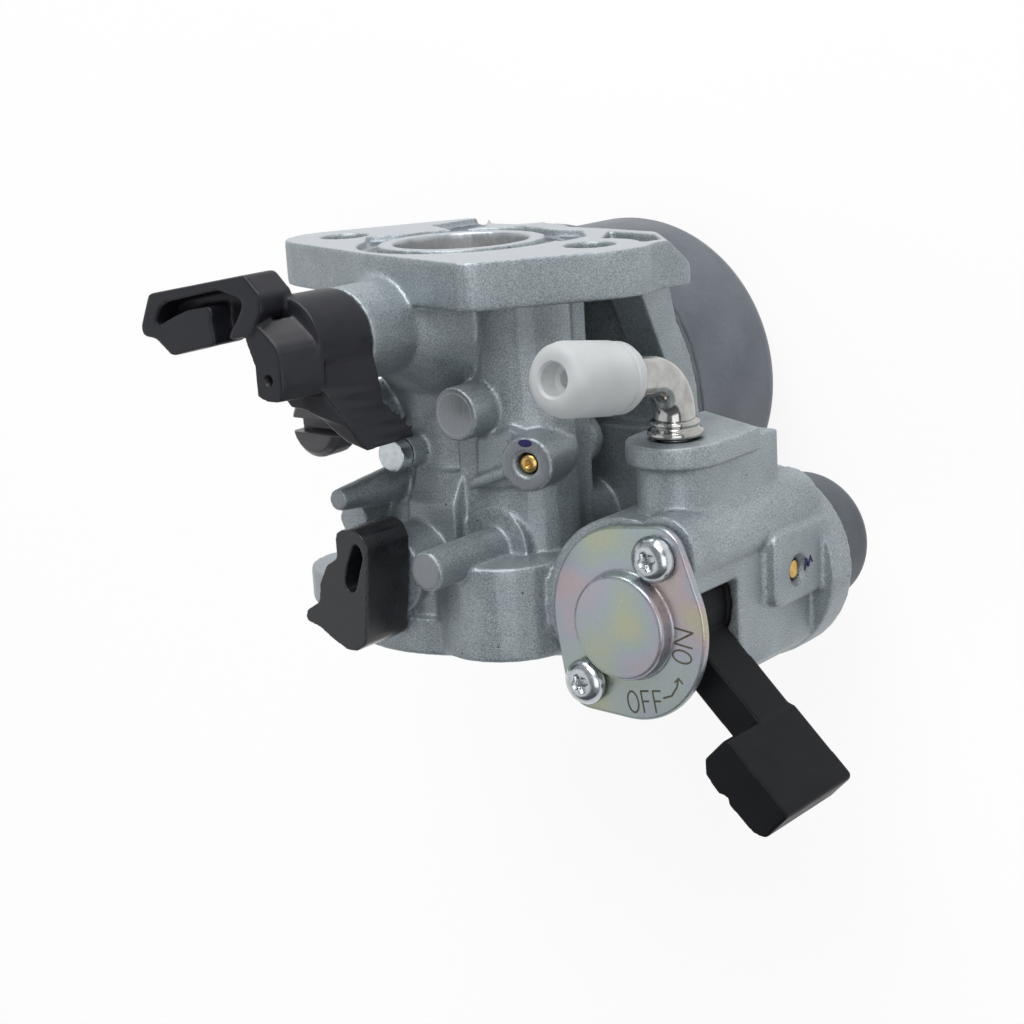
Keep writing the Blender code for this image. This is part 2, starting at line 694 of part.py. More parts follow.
def barrel():
    """Round outer wall of the bore, with a waist round the venturi and wider at the air-cleaner end."""
    engine_r = BORE_R + BARREL_WALL
    waist_r = VENTURI_D / 2 + WAIST_WALL
    shoulder_r = BORE_R + SHOULDER_WALL
    inlet_r = CHOKE_R + INLET_WALL
    flare_start = -(LENGTH + BOWL_FROM_ENGINE) / 2
    inlet_end = -LENGTH + INLET_FLANGE_T / 2
    profile = [
        (0, -ENGINE_FLANGE_T / 2),
        (engine_r, -ENGINE_FLANGE_T / 2),
        (engine_r, -WAIST_START),
        (waist_r, -WAIST_TOP),
        (waist_r, -WAIST_BOTTOM),
        (shoulder_r, -WAIST_END),
        (shoulder_r, flare_start),
        (inlet_r, flare_start - (inlet_r - shoulder_r)),
        (inlet_r, inlet_end),
        (0, inlet_end),
    ]
    return turned("barrel", profile, lay_along_y=True)


def inlet_flange():
    """Flange on the air-cleaner face, with the same stud spacing and a round bulge at its front."""
    outline = lug_outline(CHOKE_R + INLET_FACE_WALL, EAR_R, EAR_X)
    bulge = ((BULGE_X, -LENGTH + BULGE_STEP, BULGE_Z), (BULGE_X, -LENGTH + BULGE_LENGTH, BULGE_Z))
    return [
        prism("inlet_flange", outline, -LENGTH, -LENGTH + INLET_FLANGE_T, "Y"),
        rod("inlet_bulge", *bulge, BULGE_R),
    ]


def shaft_bosses():
    """Cast bosses that carry the throttle and choke shafts, flared into the barrel."""
    throttle_r = SHAFT_R + GAP + THROTTLE_BOSS_WALL
    choke_r = CHOKE_SHAFT_R + GAP + CHOKE_BOSS_WALL
    flare = THROTTLE_FLARE
    throttle_root = BORE_R + flare / 2
    return [
        post("throttle_boss", 0, THROTTLE_Y, BORE_R, THROTTLE_BOSS_TOP, throttle_r),
        post("throttle_flare", 0, THROTTLE_Y, BORE_R, throttle_root + flare, throttle_r + flare, throttle_r),
        post("choke_boss", 0, CHOKE_Y, CHOKE_R, CHOKE_BOSS_TOP, choke_r),
    ]


def front_walls():
    """Walls and ribs that stiffen the front of the barrel and the fuel-side ear."""
    gallery = ((GALLERY_X, -ENGINE_FLANGE_T / 2, GALLERY_Z), (GALLERY_X, -GALLERY_END, GALLERY_Z))
    step_end = PAST - PILLAR_END
    step = [(-STEP_EDGE, STEP_FRONT), (-STEP_TOP, STEP_BACK), (-STEP_TOP, 0)]
    step += [(step_end, 0), (step_end, STEP_FRONT)]
    return [
        rod("gallery", *gallery, GALLERY_D / 2),
        block("pillar", (PILLAR_LEFT, -PILLAR_END, GALLERY_Z), (PILLAR_RIGHT, -PILLAR_TOP, PILLAR_FRONT)),
        prism("step", step, STEP_LEFT, PILLAR_LEFT + PAST, "X"),
        prism("mixture_pad", MIXTURE_PAD, PAST, MIXTURE_PAD_FRONT),
        prism("mixture_rib", MIXTURE_RIB, 2 * PAST, MIXTURE_RIB_FRONT),
        prism("ear_rib", EAR_RIB, EAR_RIB_LEFT, EAR_RIB_RIGHT, "X"),
        post("detent_boss", DETENT_X, -DETENT_FROM_ENGINE, 0, DETENT_TOP, DETENT_D / 2, sides=SMALL_SIDES),
    ]


def front_bosses():
    """The plain bosses and posts that stand on the upper side of the barrel."""
    mixture_face = mixture_place(0)
    rim_middle = RIM_Z + RIM_T / 2
    return [
        post("idle_boss", IDLE_X, -IDLE_FROM_ENGINE, rim_middle, IDLE_BOSS_TOP + PAST, IDLE_BOSS_D / 2),
        post("jet_boss", JET_X, -JET_FROM_ENGINE, 0, JET_BOSS_TOP, JET_HEAD_D / 2, sides=SMALL_SIDES),
        post("plain_boss", PLAIN_BOSS_X, -PLAIN_BOSS_FROM_ENGINE, 0, PLAIN_BOSS_TOP, PLAIN_BOSS_D / 2),
        rod("mixture_boss", mixture_place(MIXTURE_BOSS_LENGTH), mixture_face, MIXTURE_BOSS_D / 2),
        post(
            "stepped_post",
            STEPPED_POST_X,
            -STEPPED_POST_FROM_ENGINE,
            0,
            STEPPED_POST_TOP,
            STEPPED_POST_D / 2,
            sides=SMALL_SIDES,
        ),
        post(
            "stepped_post_base",
            STEPPED_POST_X,
            -STEPPED_POST_FROM_ENGINE,
            rim_middle,
            STEPPED_POST_SHOULDER,
            STEPPED_POST_BASE_D / 2,
        ),
        post(
            "stop_post",
            STOP_POST_X,
            -STOP_POST_FROM_ENGINE,
            BORE_R,
            STOP_POST_TOP,
            STOP_POST_ROOT_D / 2,
            STOP_POST_TIP_D / 2,
            sides=SMALL_SIDES,
        ),
    ]


def mixture_place(depth):
    """Point on the mixture screw's axis, a depth below the face of its boss."""
    face = Vector((MIXTURE_X, -MIXTURE_FROM_ENGINE, MIXTURE_Z))
    return face - depth * Vector((math.sin(MIXTURE_TILT), 0, math.cos(MIXTURE_TILT)))


def plate_screw_places():
    """Centres of the two screws of the cock's plate."""
    reach = PLATE_SCREW_SPACING / 2
    along = Vector((math.cos(PLATE_SCREW_TURN), math.sin(PLATE_SCREW_TURN)))
    centre = Vector((COCK_X, COCK_Y))
    return [centre + along * reach, centre - along * reach]


def cock_housing():
    """Upright housing of the fuel cock: a flat outer side, a screw ridge, a plug pad and a round foot."""
    half_flat = math.degrees(math.acos((COCK_FLAT_X - COCK_X) / COCK_R))
    outline = arc((COCK_X, COCK_Y), COCK_R, half_flat, 360 - half_flat, 26)
    ridge = plate_screw_places()[0]
    foot_top = COCK_BOTTOM + COCK_FOOT_RISE
    pad = [
        (COCK_Y + PAD_LOW_Y, COCK_BOTTOM),
        (COCK_Y + PAD_HIGH_Y, COCK_BOTTOM),
        (COCK_Y + PAD_HIGH_Y, PAD_TOP_Z),
        (COCK_Y + PAD_LOW_Y, PAD_TOP_Z),
    ]
    return [
        prism("cock_housing", outline, COCK_BOTTOM, COCK_TOP),
        post("cock_ridge", ridge.x, ridge.y, COCK_BOTTOM, COCK_TOP, RIDGE_D / 2),
        post("cock_foot", COCK_X, COCK_Y, COCK_BOTTOM - COCK_FOOT_DROP, foot_top, COCK_R + GAP, sides=36),
        prism("plug_pad", rounded(pad, PAD_CORNER_R), COCK_X, PAD_X, "X"),
    ]


def inlet_block():
    """Block that takes the fuel elbow: a lipped top, a round column and the wall behind it."""
    lip = arc((ELBOW_X, ELBOW_Z), INLET_LIP_R, 0, 180, 10)
    lip.append((ELBOW_X - INLET_LIP_R, INLET_BLOCK_BACK_Z))
    lip.append((ELBOW_X + INLET_LIP_R, INLET_BLOCK_BACK_Z + INLET_LIP_R))
    ridge_y = plate_screw_places()[0].y
    wall = INLET_COLUMN_R
    top = INLET_TOP_Y - INLET_LIP_T / 2
    return [
        prism("inlet_lip", lip, INLET_TOP_Y - INLET_LIP_T, INLET_TOP_Y, "Y"),
        rod("inlet_column", (ELBOW_X, ridge_y, ELBOW_Z), (ELBOW_X, top, ELBOW_Z), INLET_COLUMN_R),
        block(
            "inlet_wall",
            (ELBOW_X - wall, ridge_y, INLET_BLOCK_BACK_Z + GAP),
            (ELBOW_X + wall, top, ELBOW_Z),
        ),
        block(
            "cock_web",
            (BORE_R, COCK_Y - COCK_R / 2, COCK_BOTTOM + GAP),
            (COCK_X, INLET_TOP_Y - INLET_LIP_T, RIM_Z + RIM_T + RIM_T / 2),
        ),
    ]


def chamber_hangers():
    """What hangs under the chamber roof: the jet column, the needle's boss and the float's pin posts."""
    reach = FLOAT_ARM_W / 2 + GAP
    roof = CHAMBER_ROOF + GAP
    hangers = [
        post("jet_column", 0, BOWL_Y, COLUMN_BOTTOM, roof, COLUMN_D / 2),
        post("needle_boss", NEEDLE_X, BOWL_Y, PIN_Z + NEEDLE_D / 3, roof, NEEDLE_D),
    ]
    for side in (-1, 1):
        near, far = sorted((BOWL_Y + side * reach, BOWL_Y + side * (reach + PIN_POST_T)))
        low = (PIN_X - PIN_POST_W / 2, near, PIN_Z - PIN_POST_W / 2)
        hangers.append(block("pin_post", low, (PIN_X + PIN_POST_W / 2, far, roof)))
    return hangers


def jet_levels():
    """Heights in the jet column: top of the bolt, then the bottom and top of the main jet."""
    bolt_top = COLUMN_BOTTOM + BOLT_REACH
    jet_bottom = bolt_top + JET_INLET_SPACE
    return bolt_top, jet_bottom, jet_bottom + MAIN_JET_LENGTH


def needle_levels():
    """Heights of the float needle's foot, shoulder and tip."""
    foot = PIN_Z - GAP
    tip = foot + NEEDLE_LENGTH
    return foot, tip - NEEDLE_TIP_LENGTH, tip


def main_bore():
    """Throttle bore, venturi and choke bore as one turned cutter."""
    profile = [
        (0, PAST),
        (BORE_R, PAST),
        (BORE_R, -BORE_STRAIGHT),
        (VENTURI_D / 2, BOWL_Y + PAST),
        (VENTURI_D / 2, BOWL_Y - PAST),
        (CHOKE_R, -LENGTH + CHOKE_BORE_DEPTH),
        (CHOKE_R, -LENGTH - PAST),
        (0, -LENGTH - PAST),
    ]
    return turned("main_bore", profile, sides=36, lay_along_y=True)


def face_groove():
    """Groove round the raised ring of the engine face."""
    inner = BORE_R + FACE_RING_WALL
    outer = inner + FACE_GROOVE_W
    ring = [(inner, PAST), (inner, -FACE_GROOVE_DEPTH), (outer, -FACE_GROOVE_DEPTH), (outer, PAST)]
    return turned("face_groove", ring[::-1], sides=36, lay_along_y=True)


def groove_forms():
    """The groove's pointed end, its notch beside the heel and its wide end."""
    tip = -EAR_X + STUD_HOLE_D / 2 + PAST
    start = -BORE_R - FACE_RING_WALL - FACE_GROOVE_W / 2
    point = [(tip, 0), (start, -2 * FACE_GROOVE_W), (start, 2 * FACE_GROOVE_W)]
    bottom = -FACE_GROOVE_DEPTH + GAP
    return [
        prism("groove_point", point, bottom, 2 * PAST, "Y"),
        prism("groove_notch", GROOVE_NOTCH, bottom, 2 * PAST, "Y"),
        prism("groove_end", GROOVE_END, bottom, 2 * PAST, "Y"),
    ]


def ear_cuts():
    """Wedge that slopes the toe of the fuel-side ear away from the engine face, and the pocket beside it."""
    end = EAR_SLOPE_START + EAR_SLOPE_RUN
    outline = [(EAR_SLOPE_START, 0), (end, -EAR_SLOPE_DROP), (end, PAST), (EAR_SLOPE_START, PAST)]
    slope = prism("ear_slope", outline, -EAR_X, EAR_X)
    slope.matrix_basis = Matrix.Rotation(EAR_SLOPE_TURN, 4, "Y")
    pocket = arc((EAR_X, 0), EAR_POCKET_R, -38, -112, 5) + EAR_POCKET
    return [slope, prism("ear_pocket", pocket, -EAR_POCKET_DEPTH, PAST, "Y")]


def lever_slot():
    """Sector-shaped window for the fuel lever, as wide as its stem where that leaves the cavity."""
    cavity_r = COCK_CAVITY_D / 2
    behind = math.asin((LEVER_STEM_W / 2 - LEVER_STEM_OFFSET + GAP) / cavity_r) + LEVER_SLOT_MARGIN
    ahead = math.asin((LEVER_STEM_W / 2 + LEVER_STEM_OFFSET + GAP) / cavity_r) + LEVER_SLOT_MARGIN
    start = math.degrees(LEVER_REST_TURN + LEVER_OFF_TURN - behind)
    end = math.degrees(LEVER_REST_TURN + LEVER_ON_TURN + ahead)
    centre = (COCK_X, COCK_Y)
    sector = [centre] + arc(centre, COCK_D, start, end, 10)
    return prism("lever_slot", sector, LEVER_BOTTOM - GAP, COCK_TOP + PAST)


def plug_place():
    """The brass plug's centre on the pad, as (y, z)."""
    return COCK_Y + PLUG_ABOVE_AXIS, PLUG_Z


def air_bores():
    """The main bore, the groove round it, the shafts' holes and the studs' holes."""
    throttle_top, choke_top = THROTTLE_BOSS_TOP + PAST, CHOKE_BOSS_TOP + PAST
    bores = [
        main_bore(),
        face_groove(),
        *groove_forms(),
        *ear_cuts(),
        post("throttle_bore", 0, THROTTLE_Y, THROTTLE_SHAFT_FOOT - GAP, throttle_top, SHAFT_R + GAP),
        post("choke_bore", 0, CHOKE_Y, CHOKE_SHAFT_FOOT - GAP, choke_top, CHOKE_SHAFT_R + GAP),
    ]
    for side in (-1, 1):
        ends = ((side * EAR_X, PAST, 0), (side * EAR_X, -LENGTH - PAST, 0))
        bores.append(rod("stud_hole", *ends, STUD_HOLE_D / 2, sides=SMALL_SIDES))
    return bores


def chamber_bores():
    """Holes for the bowl bolt, main jet, nozzle, float needle and float pin."""
    bolt_top, jet_bottom, jet_top = jet_levels()
    foot, shoulder, tip = needle_levels()
    needle_r, tip_r = NEEDLE_D / 2 + GAP, NEEDLE_TIP_D / 2 + GAP
    pin_reach = FLOAT_ARM_W / 2 + GAP + PIN_POST_T + PAST
    port_z = (bolt_top + jet_bottom) / 2
    return [
        post("bolt_bore", 0, BOWL_Y, COLUMN_BOTTOM - PAST, bolt_top + GAP, BOLT_D / 2 + GAP),
        post("jet_bore", 0, BOWL_Y, bolt_top, jet_top + GAP, MAIN_JET_D / 2 + GAP),
        post("nozzle_bore", 0, BOWL_Y, jet_top, 0, NOZZLE_D / 2 + GAP),
        rod("fuel_port", (-COLUMN_D, BOWL_Y, port_z), (COLUMN_D, BOWL_Y, port_z), FUEL_PORT_D / 2, sides=8),
        post("needle_bore", NEEDLE_X, BOWL_Y, foot, shoulder, needle_r, sides=SMALL_SIDES),
        post("needle_seat", NEEDLE_X, BOWL_Y, shoulder, tip + GAP, needle_r, tip_r, sides=SMALL_SIDES),
        rod(
            "pin_bore",
            (PIN_X, BOWL_Y - pin_reach, PIN_Z),
            (PIN_X, BOWL_Y + pin_reach, PIN_Z),
            PIN_D / 2 + GAP,
            sides=SMALL_SIDES,
        ),
    ]


def screw_bores():
    """Blind holes for the idle-stop screw, pilot jet and mixture screw, and the first one's spot face."""
    idle_y, idle_floor = -IDLE_FROM_ENGINE, IDLE_BOSS_TOP - IDLE_SCREW_DEPTH - GAP
    spot_top = IDLE_BOSS_TOP + IDLE_SPRING_LENGTH
    jet_floor = JET_BOSS_TOP - JET_DEPTH - GAP
    mixture_floor = mixture_place(MIXTURE_SCREW_SUNK + MIXTURE_SCREW_LENGTH + GAP)
    return [
        post("idle_spot_face", IDLE_X, idle_y, IDLE_BOSS_TOP, spot_top, IDLE_BOSS_D / 2 + GAP),
        post("idle_bore", IDLE_X, idle_y, idle_floor, IDLE_BOSS_TOP + PAST, IDLE_SCREW_D / 2 + GAP),
        post("pilot_bore", JET_X, -JET_FROM_ENGINE, jet_floor, JET_BOSS_TOP + PAST, JET_D / 2 + GAP),
        rod("mixture_bore", mixture_floor, mixture_place(-PAST), MIXTURE_SCREW_D / 2 + GAP),
    ]


def cock_bores():
    """Hollows of the fuel cock, its cup, its screws and plug, and the elbow's seat."""
    plug = plug_place()
    recess = PAD_X - PLUG_RECESS_DEPTH
    seat = INLET_TOP_Y - TUBE_SEAT_DEPTH - GAP
    cup_top = COCK_BOTTOM + CUP_BORE_DEPTH
    foot_bottom = COCK_BOTTOM - COCK_FOOT_DROP - PAST
    bores = [
        lever_slot(),
        post("cock_cavity", COCK_X, COCK_Y, COCK_CAVITY_FLOOR, COCK_TOP + PAST, COCK_CAVITY_D / 2),
        post("cup_bore", COCK_X, COCK_Y, COCK_BOTTOM - PAST, cup_top, CUP_BORE_D / 2),
        post("cup_room", COCK_X, COCK_Y, foot_bottom, COCK_BOTTOM, CUP_FLANGE_D / 2 + GAP),
        rod("elbow_seat", (ELBOW_X, seat, ELBOW_Z), (ELBOW_X, INLET_TOP_Y + PAST, ELBOW_Z), TUBE_D / 2 + GAP),
        rod("plug_recess", (recess, *plug), (PAD_X + PAST, *plug), PLUG_RECESS_D / 2, sides=SMALL_SIDES),
        rod("plug_bore", (recess - PLUG_LENGTH, *plug), (PAD_X, *plug), PLUG_D / 2 + GAP, sides=SMALL_SIDES),
    ]
    floor = COCK_TOP - PLATE_SCREW_DEPTH - GAP
    hole_r = PLATE_SCREW_D / 2 + GAP
    for place in plate_screw_places():
        bores.append(post("plate_screw_hole", *place, floor, COCK_TOP + PAST, hole_r, sides=SMALL_SIDES))
    return bores


def carburetor_body():
    """The die casting that everything else fits on."""
    body = engine_flange()
    bosses = shaft_bosses() + front_walls() + front_bosses() + cock_housing() + inlet_block()
    add(body, barrel(), *inlet_flange(), *bosses)
    bowl_room = post("bowl_room", 0, BOWL_Y, BOWL_FLOOR, RIM_Z + GAP, RIM_R + RIM_OVERHANG, sides=36)
    cut(body, face_stock(), bowl_room)
    add(body, post("chamber_rim", 0, BOWL_Y, RIM_Z, RIM_Z + RIM_T, RIM_R, sides=40))
    cut(body, post("chamber", 0, BOWL_Y, RIM_Z - PAST, CHAMBER_ROOF, BOWL_D / 2 - BOWL_WALL, sides=36))
    add(body, *chamber_hangers())
    cut(body, *air_bores(), *chamber_bores(), *screw_bores(), *cock_bores())
    return part(body, "carburetor_body", CASTING)


# Float chamber


def ring(name, inner, outer, bottom, top, x=0, y=0, sides=SIDES):
    """Plain ring with a square section."""
    return turned(name, [(outer, top), (outer, bottom), (inner, bottom), (inner, top)], x, y, sides)


def hex_bolt(name, x, y, seat, flats, head_t, shank_d, top):
    """Hex-headed bolt that points up, with the underside of its head at the seat."""
    bolt = post(name, x, y, seat - head_t, seat, flats / math.sqrt(3), sides=6)
    return add(bolt, post(f"{name}_shank", x, y, seat - head_t / 2, top, shank_d / 2, sides=SMALL_SIDES))


def float_bowl():
    """Pressed bowl with a small flange at its mouth and a rounded foot."""
    outer = BOWL_D / 2
    flange, hole = outer + BOWL_FLANGE_W, BOLT_D / 2 + GAP
    shoulder = BOWL_TOP - BOWL_WALL
    bend = (outer - BOWL_CORNER_R, BOWL_FLOOR + BOWL_CORNER_R)
    profile = [(flange, BOWL_TOP), (flange, shoulder), (outer, shoulder)]
    profile += arc(bend, BOWL_CORNER_R, 0, -90, 5)
    profile += [(hole, BOWL_FLOOR), (hole, BOWL_FLOOR + BOWL_WALL)]
    profile += arc(bend, BOWL_CORNER_R - BOWL_WALL, -90, 0, 5)
    profile.append((outer - BOWL_WALL, BOWL_TOP))
    bowl = turned("float_bowl", profile, 0, BOWL_Y, sides=36)
    floor_top = BOWL_FLOOR + BOWL_WALL + PAST
    drain = post("drain_hole", -DRAIN_OFFSET, BOWL_Y, BOWL_FLOOR - PAST, floor_top, DRAIN_D / 2 + GAP)
    return part(cut(bowl, drain), "float_bowl", BOWL_STEEL)


def bowl_fasteners():
    """Gasket, bowl bolt and drain screw, each bolt with its sealing washer."""
    flange = BOWL_D / 2 + BOWL_FLANGE_W
    gasket = ring("gasket", flange - GASKET_W, flange, BOWL_TOP + GAP, RIM_Z - GAP, 0, BOWL_Y, sides=36)
    part(gasket, "bowl_gasket", RUBBER)
    seat = BOWL_FLOOR - 2 * GAP - WASHER_T
    bolt = hex_bolt("bolt", 0, BOWL_Y, seat, BOLT_HEAD_FLATS, BOLT_HEAD_T, BOLT_D, jet_levels()[0])
    part(bolt, "bowl_bolt", ZINC_STEEL)
    drain_top = BOWL_FLOOR + DRAIN_REACH
    drain = hex_bolt("drain", -DRAIN_OFFSET, BOWL_Y, seat, DRAIN_FLATS, DRAIN_HEAD_T, DRAIN_D, drain_top)
    part(drain, "drain_screw", ZINC_STEEL)
    for name, x, shank_d, flats in (
        ("bowl_bolt_washer", 0, BOLT_D, BOLT_HEAD_FLATS),
        ("drain_washer", -DRAIN_OFFSET, DRAIN_D, DRAIN_FLATS),
    ):
        washer = ring(name, shank_d / 2 + GAP, flats / 2, seat + GAP, BOWL_FLOOR - GAP, x, BOWL_Y)
        part(washer, name, FIBRE)


def jets():
    """Main jet above the bowl bolt, and the nozzle that it feeds."""
    jet_bottom, jet_top = jet_levels()[1:]
    jet = ring("jet", JET_ORIFICE_D / 2, MAIN_JET_D / 2, jet_bottom, jet_top, 0, BOWL_Y, SMALL_SIDES)
    part(jet, "main_jet", BRASS)
    spout = NOZZLE_RISE - VENTURI_D / 2
    nozzle = ring("nozzle", NOZZLE_BORE_D / 2, NOZZLE_D / 2, jet_top + GAP, spout, 0, BOWL_Y, SMALL_SIDES)
    part(nozzle, "main_nozzle", BRASS)


def float_set():
    """Float with its arm, the pin that it swings on and the needle that it lifts."""
    foot, shoulder, tip = needle_levels()
    outer, hole = FLOAT_D / 2, FLOAT_HOLE_D / 2
    bottom = FLOAT_TOP - FLOAT_T
    section = [(outer, FLOAT_TOP), (outer, bottom), (hole, bottom), (hole, FLOAT_TOP)]
    floating = turned("float_ring", rounded(section, FLOAT_EDGE_R, 2), 0, BOWL_Y)
    half_w = FLOAT_ARM_W / 2
    arm_top = foot - GAP
    arm_start = NEEDLE_X - NEEDLE_D
    tongue = ((arm_start, BOWL_Y - half_w, arm_top - FLOAT_TONGUE_T), (PIN_X, BOWL_Y + half_w, arm_top))
    riser = ((arm_start, BOWL_Y - half_w, FLOAT_TOP - FLOAT_EDGE_R), (NEEDLE_X, BOWL_Y + half_w, arm_top))
    ends = ((PIN_X, BOWL_Y - half_w, PIN_Z), (PIN_X, BOWL_Y + half_w, PIN_Z))
    knuckle = rod("float_knuckle", *ends, FLOAT_ARM_T / 2, sides=SMALL_SIDES)
    add(floating, block("float_tongue", *tongue), block("float_riser", *riser), knuckle)
    past = Y_AXIS * PAST
    cut(floating, rod("float_pin_hole", Vector(ends[0]) - past, Vector(ends[1]) + past, PIN_D / 2 + GAP))
    pivot = pivot_at("float_pivot", (PIN_X, BOWL_Y, PIN_Z))
    part(floating, "float", FLOAT_PLASTIC, pivot)
    reach = Y_AXIS * (GAP + PIN_POST_T)
    pin = rod("pin", Vector(ends[0]) - reach, Vector(ends[1]) + reach, PIN_D / 2, sides=SMALL_SIDES)
    part(pin, "float_pin", STEEL)
    needle_r = NEEDLE_D / 2
    profile = [(0, tip), (NEEDLE_TIP_D / 2, tip), (needle_r, shoulder), (needle_r, foot), (0, foot)]
    needle = turned("needle", profile, NEEDLE_X, BOWL_Y, SMALL_SIDES)
    part(needle, "float_needle", STEEL, pivot_at("needle_slide", (NEEDLE_X, BOWL_Y, foot)))


# Throttle and choke


def valve_set(kind, y, foot, top, shaft_r, bore_r, normal):
    """Shaft, valve plate and plate screw on an upright axis, with the plate square to a normal."""
    pivot = pivot_at(f"{kind}_pivot", (0, y, 0))
    centre = Vector((0, y, 0))
    valve_r = bore_r - VALVE_CLEARANCE
    hole_r = VALVE_SCREW_D / 2 + GAP
    past = normal * (shaft_r + PAST)
    side = (X_AXIS + Y_AXIS - normal) * (shaft_r + PAST)
    tall = Z_AXIS * (valve_r + GAP)
    shaft = post(f"{kind}_rod", 0, y, foot, top, shaft_r)
    flat = block(f"{kind}_flat", centre - side - tall, centre + side + tall + past)
    cut(shaft, flat, rod(f"{kind}_shaft_hole", centre - past, centre + past, hole_r, sides=SMALL_SIDES))
    part(shaft, f"{kind}_shaft", STEEL, pivot)
    near, far = centre + normal * GAP, centre + normal * (GAP + VALVE_T)
    valve = rod(f"{kind}_plate", near, far, valve_r, sides=32)
    cut(valve, rod(f"{kind}_plate_hole", centre - past, centre + past, hole_r, sides=SMALL_SIDES))
    part(valve, f"{kind}_valve", BRASS, pivot)
    head = far + normal * GAP
    head_top = head + normal * VALVE_SCREW_HEAD_T
    screw = rod(f"{kind}_head", head, head_top, VALVE_SCREW_HEAD_D / 2, sides=SMALL_SIDES)
    end = centre - normal * shaft_r
    add(screw, rod(f"{kind}_shank", end, (head + head_top) / 2, VALVE_SCREW_D / 2, sides=SMALL_SIDES))
    part(screw, f"{kind}_valve_screw", STEEL, pivot)
    return pivot


def throttle_lever(pivot, shaft_top):
    """Moulded lever: a hub, a forked hook over it, a lobe with a link hole and a stop foot round the boss."""
    centre = (0, THROTTLE_Y)
    bottom = THROTTLE_BOSS_TOP + GAP
    lever = post("throttle_hub", *centre, bottom, LEVER_HUB_TOP + GAP, SHAFT_R + LEVER_HUB_WALL)
    fork = shifted(rounded(FORK_OUTLINE, FORK_EDGE_R, 2), centre)
    lobe = shifted(rounded(LOBE_OUTLINE, LOBE_EDGE_R, 3), centre)
    foot = shifted(rounded(FOOT_OUTLINE, FOOT_EDGE_R, 3), centre)
    add(
        lever,
        prism("fork", fork, LEVER_HUB_TOP, LEVER_HUB_TOP + FORK_T),
        prism("lobe", lobe, LOBE_BOTTOM, LOBE_TOP),
        prism("foot", foot, FOOT_BOTTOM, FOOT_TOP),
    )
    hole = shifted([LOBE_HOLE], centre)[0]
    boss_r = SHAFT_R + GAP + THROTTLE_BOSS_WALL
    cut(
        lever,
        post("boss_room", *centre, FOOT_BOTTOM - PAST, bottom, boss_r + GAP),
        post("lever_shaft_hole", *centre, bottom - PAST, shaft_top + GAP, SHAFT_R + GAP),
        post("lobe_hole", *hole, LOBE_BOTTOM - PAST, LOBE_TOP + PAST, LOBE_HOLE_D / 2, sides=8),
    )
    part(lever, "throttle_lever", BLACK_PLASTIC, pivot)


def choke_lever(pivot, shaft_top):
    """Moulded lever with a beak at each end and a blind pocket in its top."""
    centre = (0, CHOKE_Y)
    bottom = CHOKE_BOSS_TOP + GAP
    top = bottom + CHOKE_LEVER_T
    outline = shifted(rounded(CHOKE_OUTLINE, CHOKE_EDGE_R, 2), centre)
    pocket = shifted(rounded(CHOKE_POCKET, CHOKE_EDGE_R, 2), centre)
    lever = prism("choke_arm", outline, bottom, top)
    cut(
        lever,
        prism("choke_pocket", pocket, top - CHOKE_POCKET_DEPTH, top + PAST),
        post("choke_shaft_hole", *centre, bottom - PAST, shaft_top + GAP, CHOKE_SHAFT_R + GAP),
    )
    part(lever, "choke_lever", BLACK_PLASTIC, pivot)


def throttle_and_choke():
    """Both valves with their shafts and levers."""
    throttle_top = LEVER_HUB_TOP - SHAFT_END_DROP
    pivot = valve_set("throttle", THROTTLE_Y, THROTTLE_SHAFT_FOOT, throttle_top, SHAFT_R, BORE_R, Y_AXIS)
    throttle_lever(pivot, throttle_top)
    choke_top = CHOKE_BOSS_TOP + GAP + CHOKE_LEVER_T - CHOKE_SHAFT_COVER
    pivot = valve_set("choke", CHOKE_Y, CHOKE_SHAFT_FOOT, choke_top, CHOKE_SHAFT_R, CHOKE_R, X_AXIS)
    choke_lever(pivot, choke_top)


# Idle-stop screw, pilot jet and mixture screw


def least_gap(points, wire_d, points_a_curl):
    """Smallest clear distance between the curls of a wound wire."""
    places = np.array(points)
    away = np.linalg.norm(places[:, None] - places[None], axis=2)
    order = np.arange(len(places))
    apart = np.abs(order[:, None] - order[None]) > points_a_curl / 2
    return away[apart].min() - wire_d


